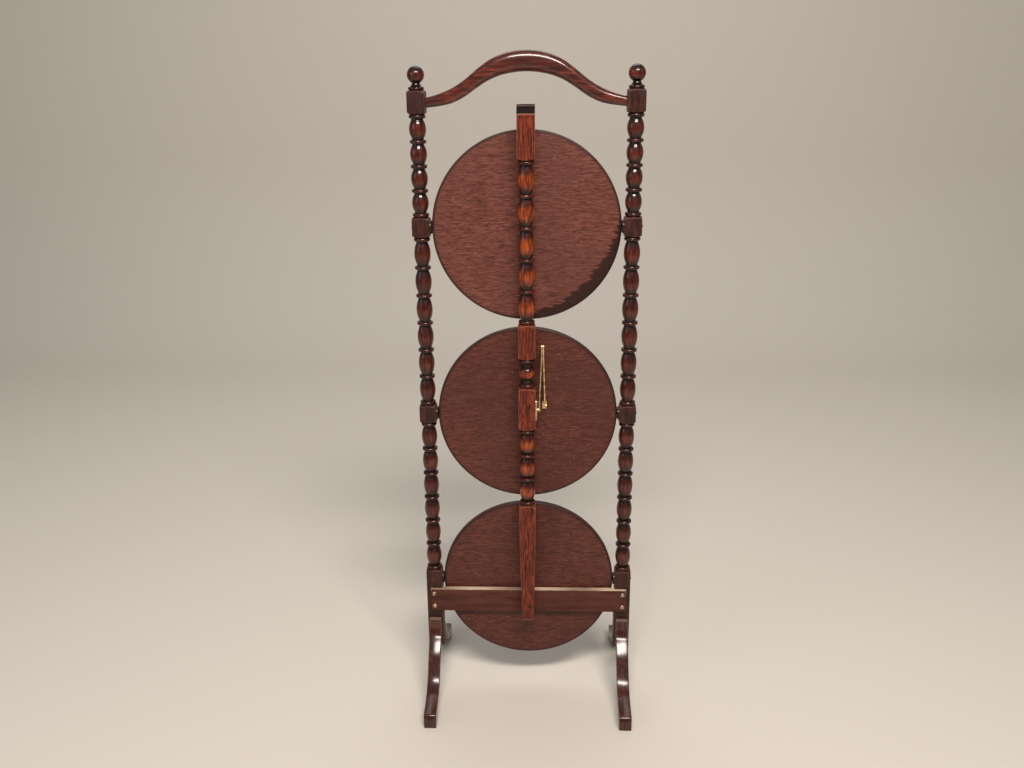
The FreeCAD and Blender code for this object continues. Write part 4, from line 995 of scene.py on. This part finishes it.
@dataclass
class LinkBar:
    """The turned bar that hangs in front of the trays."""

    layout: Layout
    turning: Turning
    bobbins: tuple = (5, 3)
    ball: float = 11.2
    ball_neck: float = 6.5
    top_under_joint: float = 2.0
    top_slope: float = 11.0
    block_under_top_hinge: float = 30.5
    block_over_middle_hinge: float = 17.8
    block_under_middle_hinge: float = 30.6
    block_over_stay: float = 33.5
    block_under_stay: float = 28.0
    foot_over_bottom_hinge: float = 16.3
    foot_width: float = 15.8
    foot_cuts: int = 17
    foot_round: float = 0.8
    end_bevel: float = 0.5
    end_border: float = 0.8
    end_least: float = 5.0          # side of the smallest square that counts as an end, not as a bevel
    # width of the pale band along the top's arrises, wearing plus a painted highlight, and of the cut above
    # the foot's end
    pale_band: float = 1.5

    def blocks(self) -> list[Pair]:
        """Upper and lower height of each square length, from the top down."""
        hinge = {tier: pivot + self.layout.hinge_rise for tier, pivot in self.layout.pivot.items()}
        stay = self.layout.stay_z
        middle = hinge[Tier.MIDDLE]
        return [
            (self.layout.joint_z - self.top_under_joint, hinge[Tier.TOP] - self.block_under_top_hinge),
            (middle + self.block_over_middle_hinge, middle - self.block_under_middle_hinge),
            (stay + self.block_over_stay, stay - self.block_under_stay),
            (hinge[Tier.BOTTOM] + self.foot_over_bottom_hinge, self.layout.bar_foot),
        ]

    def build(self) -> None:
        """Makes the bar."""
        centre = (0.0, self.layout.bar_axis_y)
        neck, bury = self.turning.neck, self.turning.bury
        blocks = self.blocks()
        gaps = [(upper[1], lower[0]) for upper, lower in zip(blocks, blocks[1:])]
        runs = [
            self.turning.run(*gaps[0], self.bobbins[0]),
            self.turning.ball_run(*gaps[1], self.ball, self.ball_neck),
            self.turning.run(*gaps[2], self.bobbins[1]),
        ]
        mesh_data = bmesh.new()
        for (high, low), run in zip(gaps, runs):
            self.turning.turn(mesh_data, [(neck, high + bury), *run, (neck, low - bury)], centre)
        tidy(mesh_data)
        swells = [swell for run in runs for swell in self.turning.swells(run)]
        paint_wear_and_light(mesh_data, self.turning.groove(centre, swells))
        joined(mesh_data, self.head(*blocks[0]))
        for upper, lower in blocks[1:3]:
            joined(mesh_data, self.turning.square(upper, lower, centre))
        joined(mesh_data, self.foot(*blocks[3]))
        piece("link_bar_turned", mesh_data, [BAR_TURNED, BAR_FLATS, BAR_END], "link_bar", ["link_bar"])

    def head(self, z_high: float, z_low: float) -> bmesh.types.BMesh:
        """Top block with its sloped front end.

        Args:
            z_high: top of the bar.
            z_low: bottom of the block.

        Returns:
            The mesh.
        """
        y = self.layout.bar_axis_y
        block = self.turning.square(z_high, z_low, (0.0, y), round_high=False)
        front = y - self.turning.half
        corner = upright(z_high - self.top_slope, (0.0, front))
        slope = Vector((0, -1, 1)).normalized()
        edges = bisect(block, corner, slope, clear=True)
        bmesh.ops.holes_fill(block, edges=edges, sides=0)
        bisect(block, corner - slope * self.pale_band * MM, slope)
        cut_across(block, Axis.Z, [(z_high - self.pale_band) * MM])
        tidy(block)
        for face in block.faces:
            if face.normal.z > 0.5:
                face.material_index = 2
        rim = [e for e in block.edges if {f.material_index for f in e.link_faces} == {1, 2}]
        bevel(block, rim, self.end_bevel * MM, 2)
        # bevels round the sloped top painted pale: wearing plus a painted highlight
        set_wear_and_light(block, [f for f in block.faces if 0.15 < f.normal.z < 0.65], 1.0)
        least = (self.end_least * MM) ** 2
        ends = [f for f in block.faces if f.material_index == 2 and f.calc_area() > least]
        bmesh.ops.inset_individual(block, faces=ends, thickness=self.end_border * MM, use_even_offset=True)
        set_wear_and_light(block, ends, 0.0)
        return block

    def foot(self, z_high: float, z_low: float) -> bmesh.types.BMesh:
        """Plain lower length whose sides curve in to a narrow foot.

        Args:
            z_high: upper end, rounded where the turning stops.
            z_low: foot of the bar.

        Returns:
            The mesh.
        """
        block = self.turning.square(z_high, z_low, (0.0, self.layout.bar_axis_y), round_low=False)
        length = z_high - z_low
        levels = [z_low + length * step / self.foot_cuts for step in range(1, self.foot_cuts - 1)]
        cut_across(block, Axis.Z, [level * MM for level in (*levels, z_low + self.pale_band)])
        narrow = 1 - self.foot_width / self.turning.stock
        for vert in block.verts:
            share = (z_high - vert.co.z / MM) / length
            vert.co.x *= 1 - narrow * share ** 2
        end = [e for e in block.edges if all(abs(v.co.z / MM - z_low) < 0.01 for v in e.verts)
               and e.calc_face_angle(0.0) > 1.0]
        set_wear_and_light(block, bevel(block, end, self.foot_round * MM, 3), 1.0)
        tidy(block)
        return block


@dataclass
class Trays:
    """The three round trays: plain underside, shallow dish on the other face."""

    layout: Layout
    edge_round: float = 2.0
    lip: float = 9.0
    lip_round: float = 0.6
    dish: float = 2.2
    floor_margin: float = 4.0
    # width of the band that darkens towards the rim
    dark_rim: float = 2.5
    round_cuts: int = 6
    steps: int = 192

    def profile(self) -> list[Pair]:
        """Radius and distance along +Y, from the middle of the underside to the middle of the dish."""
        radius = self.layout.tray_radius
        half = self.layout.tray_half
        edge = self.edge_round
        quarter = [math.pi / 2 * step / self.round_cuts for step in range(self.round_cuts + 1)]
        points = [(0.0, -half), (radius * 0.5, -half), (radius - edge - self.dark_rim, -half)]
        points += [(radius - edge + edge * math.sin(angle), edge - half - edge * math.cos(angle))
                   for angle in quarter]
        points += [(radius - edge + edge * math.cos(angle), half - edge + edge * math.sin(angle))
                   for angle in quarter]
        inner = radius - self.lip
        floor = half - self.dish
        points.append((inner + self.lip_round, half))
        points += [(inner - self.dish * math.sin(angle), floor + self.dish * math.cos(angle))
                   for angle in quarter]
        points += [(inner - self.dish - self.floor_margin, floor), (radius * 0.5, floor), (0.0, floor)]
        return points

    def build(self) -> None:
        """Makes the three trays."""
        for tier, finish in zip(Tier, (TRAY_BOTTOM_OAK, TRAY_MIDDLE_OAK, TRAY_TOP_OAK)):
            mesh_data = bmesh.new()
            middle = self.layout.pivot[tier]
            spin_profile(mesh_data, self.profile(), upright(middle), Axis.Y, self.steps)
            tidy(mesh_data)
            # darker towards the rim
            dark_from = self.layout.tray_radius - self.edge_round - self.dark_rim
            paint_wear_and_light(mesh_data, lambda co: (math.hypot(co.x / MM, co.z / MM - middle) - dark_from) / self.dark_rim)
            body = f"tray_{tier.value}"
            piece(f"round_tray_{tier.value}", mesh_data, [finish], body, [body])


@dataclass
class Handle:
    """The bowed carrying handle."""

    layout: Layout
    turning: Turning
    rise: float = 49.9
    cuts: int = 64
    curve_cuts: int = 8
    tenon: float = 4.5
    tenon_length: float = 10.0
    tenon_steps: int = 24
    corner: float = 0.42            # rounding, as a share of the section
    stations: tuple = (             # share of the half span, of the rise, depth and width
        (0.00, 1.000, 26.0, 20.0), (0.13, 0.974, 26.0, 20.0), (0.25, 0.903, 25.3, 19.5),
        (0.37, 0.771, 24.1, 19.0), (0.49, 0.569, 22.6, 18.2), (0.61, 0.343, 20.8, 17.2),
        (0.73, 0.176, 18.5, 16.0), (0.85, 0.076, 15.6, 14.5), (1.00, 0.000, 12.6, 13.0),
    )

    def at(self, share: float, curve: list[tuple[float, ...]]) -> tuple[float, float, float]:
        """Rise, depth and width at a share of the half span.

        Args:
            share: distance from the middle as a share of the half span.
            curve: smooth curve through the stations.

        Returns:
            Share of the rise, depth and width.
        """
        for low, high in zip(curve, curve[1:]):
            if share <= high[0]:
                t = (share - low[0]) / (high[0] - low[0])
                return tuple(a + (b - a) * t for a, b in zip(low[1:], high[1:]))
        return curve[-1][1:]

    def build(self) -> None:
        """Makes the handle from a straight rounded bar bent and swelled to shape."""
        span = self.layout.post_x - self.turning.half
        mesh_data = bmesh.new()
        bmesh.ops.create_cube(mesh_data, size=1.0, matrix=Matrix.Diagonal((2.0, 1.0, 1.0, 1.0)))
        along = [e for e in mesh_data.edges if abs((e.verts[0].co - e.verts[1].co).x) > 1.5]
        bevel(mesh_data, along, self.corner, 10)
        cut_across(mesh_data, Axis.X, [-1 + 2 * step / self.cuts for step in range(1, self.cuts)])
        mirrored = [(-row[0],) + row[1:] for row in reversed(self.stations[1:])] + list(self.stations)
        curve = smooth_curve(mirrored, self.curve_cuts)
        for vert in mesh_data.verts:
            rise, depth, width = self.at(vert.co.x, curve)
            z = self.layout.joint_z + rise * self.rise + vert.co.z * depth
            vert.co = Vector((vert.co.x * span, vert.co.y * width, z)) * MM
        tidy(mesh_data)
        for side in (-1, 1):
            tenon = bmesh.new()
            start, reach = span - self.turning.bury, span + self.tenon_length
            points = [(0.0, start), (self.tenon, start), (self.tenon, reach), (0.0, reach)]
            spin_profile(tenon, points, upright(self.layout.joint_z), Axis.X, self.tenon_steps)
            bmesh.ops.scale(tenon, vec=Vector((side, 1, 1)), verts=tenon.verts)
            tidy(tenon)
            joined(mesh_data, tenon)
        paint_wear_and_light(mesh_data, lambda co: 0.0)
        piece("bowed_handle", mesh_data, [HANDLE_OAK], "frame", ["handle"], 60.0)


@dataclass
class Legs:
    """Four ogee legs cut from board, with square toes."""

    layout: Layout
    turning: Turning
    width: float = 18.0
    edge_round: float = 1.4
    curve_cuts: int = 5
    # pale top face: a painted highlight
    top_highlight: float = 0.55
    side_wear: float = 0.2
    toe: float = 0.168              # height of the toe, of the leg's height
    upper: tuple = (                # share of the reach and of the height, along each edge
        (0.055, 1.000), (0.062, 0.890), (0.100, 0.795), (0.175, 0.722), (0.290, 0.606), (0.372, 0.488),
        (0.468, 0.365), (0.565, 0.290), (0.681, 0.240), (0.836, 0.205), (0.975, 0.188),
    )
    lower: tuple = (
        (0.872, 0.000), (0.824, 0.062), (0.700, 0.108), (0.550, 0.180), (0.430, 0.290), (0.320, 0.425),
        (0.215, 0.540), (0.100, 0.595),
    )

    def build(self) -> None:
        """Makes the four legs."""
        for side_x, word_x in ((-1, "left"), (1, "right")):
            for side_y, word_y in ((-1, "front"), (1, "rear")):
                name = f"leg_{word_y}_{word_x}"
                low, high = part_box(name)
                reach = max(abs(low[1]), abs(high[1])) / MM - self.turning.half
                mesh_data = self.leg(high[2] / MM, reach, side_x, side_y)
                piece(f"ogee_{name}", mesh_data, [LEG_OAK], "frame", [name], 50.0)

    def leg(self, high: float, reach: float, side_x: int, side_y: int) -> bmesh.types.BMesh:
        """One leg.

        Args:
            high: height of the leg's top.
            reach: from the post's face to the toe's end.
            side_x: -1 for left, 1 for right.
            side_y: -1 for front, 1 for rear.

        Returns:
            The mesh.
        """
        face_y = self.turning.half
        outline = [(0.0, 1.0)] + smooth_curve(self.upper, self.curve_cuts) + [(1.0, self.toe), (1.0, 0.0)]
        outline += smooth_curve(self.lower, self.curve_cuts) + [(0.0, self.layout.post_foot / high)]
        middle = side_x * self.layout.post_x
        mesh_data = bmesh.new()
        points = [Vector((middle - self.width / 2, side_y * (face_y + share * reach), z * high)) * MM
                  for share, z in outline]
        face = mesh_data.faces.new([mesh_data.verts.new(point) for point in points])
        grown = bmesh.ops.extrude_face_region(mesh_data, geom=[face])
        moved = [item for item in grown["geom"] if isinstance(item, bmesh.types.BMVert)]
        bmesh.ops.translate(mesh_data, verts=moved, vec=Vector((self.width * MM, 0, 0)))
        bmesh.ops.recalc_face_normals(mesh_data, faces=mesh_data.faces)
        rims = [e for e in mesh_data.edges if abs(e.verts[0].co.x - e.verts[1].co.x) < 1e-7
                and max(abs(v.co.y) for v in e.verts) > (face_y + 0.05) * MM]
        bevel(mesh_data, rims, self.edge_round * MM, 3)
        tidy(mesh_data)
        inner = self.width / 2 - self.edge_round

        def rule(point: Vector) -> float:
            """Sawn top painted pale as a painted highlight, and side faces where the stain is a little
            lighter.
            """
            if point.z / MM > high - 0.5:
                return self.top_highlight
            return self.side_wear * (abs(point.x / MM - middle) - inner) / self.edge_round
        paint_wear_and_light(mesh_data, rule)
        return mesh_data


@dataclass
class Rail:
    """The flat rail across the front of the posts; its top face is paler from wearing plus a painted
    highlight.
    """

    edge_round: float = 1.2
    cuts: int = 28
    top_wear_and_light: Pair = (0.7, 0.3)          # mean paleness of the top face, wearing plus a painted highlight, and how far it rises and falls
    top_wear_and_light_turn: float = 61.0          # radians of that rise and fall in a metre

    def build(self) -> None:
        """Makes the rail."""
        low, high = (Vector(corner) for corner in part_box("rail"))
        mesh_data = bmesh.new()
        matrix = Matrix.Translation((low + high) / 2) @ Matrix.Diagonal((*(high - low), 1.0))
        bmesh.ops.create_cube(mesh_data, size=1.0, matrix=matrix)
        front = [e for e in mesh_data.edges if all(abs(v.co.y - low.y) < 1e-6 for v in e.verts)]
        bevel(mesh_data, front, self.edge_round * MM, 3)
        cut_across(mesh_data, Axis.X,
                   [low.x + (high.x - low.x) * step / self.cuts for step in range(1, self.cuts)])
        tidy(mesh_data)
        edge = self.edge_round * MM
        mean, swing = self.top_wear_and_light
        # top face paler: wearing plus a painted highlight
        paint_wear_and_light(mesh_data, lambda co: (co.z - high.z + edge) / edge
             * (mean + swing * math.sin(co.x * self.top_wear_and_light_turn)))
        piece("front_rail", mesh_data, [RAIL_OAK], "frame", ["rail"])


@dataclass
class Hardware:
    """Small CAD nodes that keep their shape and get a finish."""

    brass: tuple = ("tray_hinge", "bar_hinge", "hinge_pins", "stay_")
    wood: tuple = ("hinge_pad", "leg_dowels")

    def finish(self, name: str) -> StainedWood | WornBrass | None:
        """Finish of a kept node.

        Args:
            name: the node's name.

        Returns:
            The finish, or None where the node was built anew.
        """
        if name.startswith(self.brass):
            return STAY_BRASS
        if name.startswith(self.wood):
            return PLAIN_WOOD
        return {"rail_screws": SCREW_BRASS, "pivot_pins": PIN_STEEL, "pivot_washers": WASHER_WOOD}.get(name)

    def build(self) -> None:
        """Gives each kept node its material."""
        for name, node in frame["nodes"].items():
            finish = self.finish(name)
            if finish is None:
                continue
            for slot in node.material_slots:
                slot.material = dressed(finish)
            LOG.info("%s: %s", name, finish.name)


# ---------------------------------------------------------------- studio

@dataclass(frozen=True)
class Lamp:
    """A soft rectangular light, in metres and watts."""

    name: str
    place: Place
    target: Place               # the point it faces
    size: Pair
    watts: float
    colour: str

    def build(self) -> None:
        """Adds the light."""
        data = bpy.data.lights.new(self.name, "AREA")
        data.shape = "RECTANGLE"
        data.size, data.size_y = self.size
        data.energy = self.watts
        data.color = linear(self.colour)[:3]
        made = bpy.data.objects.new(self.name, data)
        made.location = self.place
        made.rotation_euler = (Vector(self.target) - Vector(self.place)).to_track_quat("-Z", "Y").to_euler()
        bpy.context.scene.collection.objects.link(made)


@dataclass
class Studio:
    """Plain floor and wall, soft lights and the camera."""

    lens_mm: float = 33.3755859
    sensor_mm: float = 36.0
    eye: Place = (23.97, -1256.75, 895.27)      # in millimetres
    pitch_deg: float = 18.24
    yaw_deg: float = -2.07
    roll_deg: float = -0.57
    sweep_half: float = 4.0         # half the floor's width, its reach in front and the wall's height, metres
    wall_y: float = 2.2
    bend: float = 0.6               # radius between floor and wall
    bend_cuts: int = 12
    air: str = "e6e6e6"
    air_strength: float = 0.25
    lamps: tuple[Lamp, ...] = (
        Lamp("key", (0.25, -1.5, 2.2), (0.0, 0.0, 0.45), (1.3, 0.35), 60.0, "fff6ec"),
        Lamp("fill", (-2.2, -1.4, 1.4), (0.0, 0.0, 0.45), (1.2, 1.2), 7.0, "f2f5ff"),
        Lamp("back", (0.0, 1.2, 2.6), (0.0, 0.0, 0.4), (1.6, 1.6), 14.0, "ffffff"),
    )

    def camera(self) -> None:
        """Places the camera."""
        yaw, pitch, roll = (math.radians(v) for v in (self.yaw_deg, self.pitch_deg, self.roll_deg))
        forward = Vector((math.sin(yaw) * math.cos(pitch), math.cos(yaw) * math.cos(pitch),
                          -math.sin(pitch)))
        right = forward.cross(Vector((0, 0, 1))).normalized()
        up = right.cross(forward)
        right, up = (right * math.cos(roll) + up * math.sin(roll),
                     up * math.cos(roll) - right * math.sin(roll))
        data = bpy.data.cameras.new("camera")
        data.sensor_width = self.sensor_mm
        data.lens = self.lens_mm
        data.clip_start = 0.05
        made = bpy.data.objects.new("camera", data)
        rotation = Matrix((right, up, -forward)).transposed().to_4x4()
        made.matrix_world = Matrix.Translation(Vector(self.eye) * MM) @ rotation
        bpy.context.scene.collection.objects.link(made)
        bpy.context.scene.camera = made

    def sweep(self) -> None:
        """Pale floor that curves up into a wall behind."""
        mesh_data = bmesh.new()
        half, bend, start = self.sweep_half, self.bend, self.wall_y - self.bend
        angles = [math.pi / 2 * step / self.bend_cuts for step in range(1, self.bend_cuts + 1)]
        profile = [(-half, 0.0), (start, 0.0)]
        profile += [(start + bend * math.sin(angle), bend - bend * math.cos(angle)) for angle in angles]
        profile.append((self.wall_y, half))
        verts = [mesh_data.verts.new((-half, y, z)) for y, z in profile]
        edges = [mesh_data.edges.new(pair) for pair in zip(verts, verts[1:])]
        grown = bmesh.ops.extrude_edge_only(mesh_data, edges=edges)
        moved = [item for item in grown["geom"] if isinstance(item, bmesh.types.BMVert)]
        bmesh.ops.translate(mesh_data, verts=moved, vec=Vector((2 * half, 0, 0)))
        bmesh.ops.recalc_face_normals(mesh_data, faces=mesh_data.faces)
        mesh = bpy.data.meshes.new("studio_sweep")
        mesh_data.to_mesh(mesh)
        mesh_data.free()
        for polygon in mesh.polygons:
            polygon.use_smooth = True
        mesh.materials.append(dressed(FLOOR_PAINT))
        made = bpy.data.objects.new("studio_sweep", mesh)
        bpy.context.scene.collection.objects.link(made)

    def build(self) -> None:
        """Sets up floor, lights, world and camera."""
        self.sweep()
        for lamp in self.lamps:
            lamp.build()
        world = bpy.data.worlds.new("studio_air")
        world.use_nodes = True
        background = world.node_tree.nodes["Background"]
        background.inputs[0].default_value = linear(self.air)
        background.inputs[1].default_value = self.air_strength
        bpy.context.scene.world = world
        bpy.context.scene.view_settings.view_transform = "Standard"
        self.camera()


def main() -> None:
    """Builds the stand, dresses it and lights it."""
    logging.basicConfig(level=logging.INFO, format="%(name)s: %(message)s")
    layout = Layout()
    turning = Turning()
    for assembly in (Posts(layout, turning), LinkBar(layout, turning), Trays(layout),
                     Handle(layout, turning), Legs(layout, turning), Rail(), Hardware(), Studio()):
        LOG.info("building %s", type(assembly).__name__)
        assembly.build()


if __name__ == "__main__":
    main()
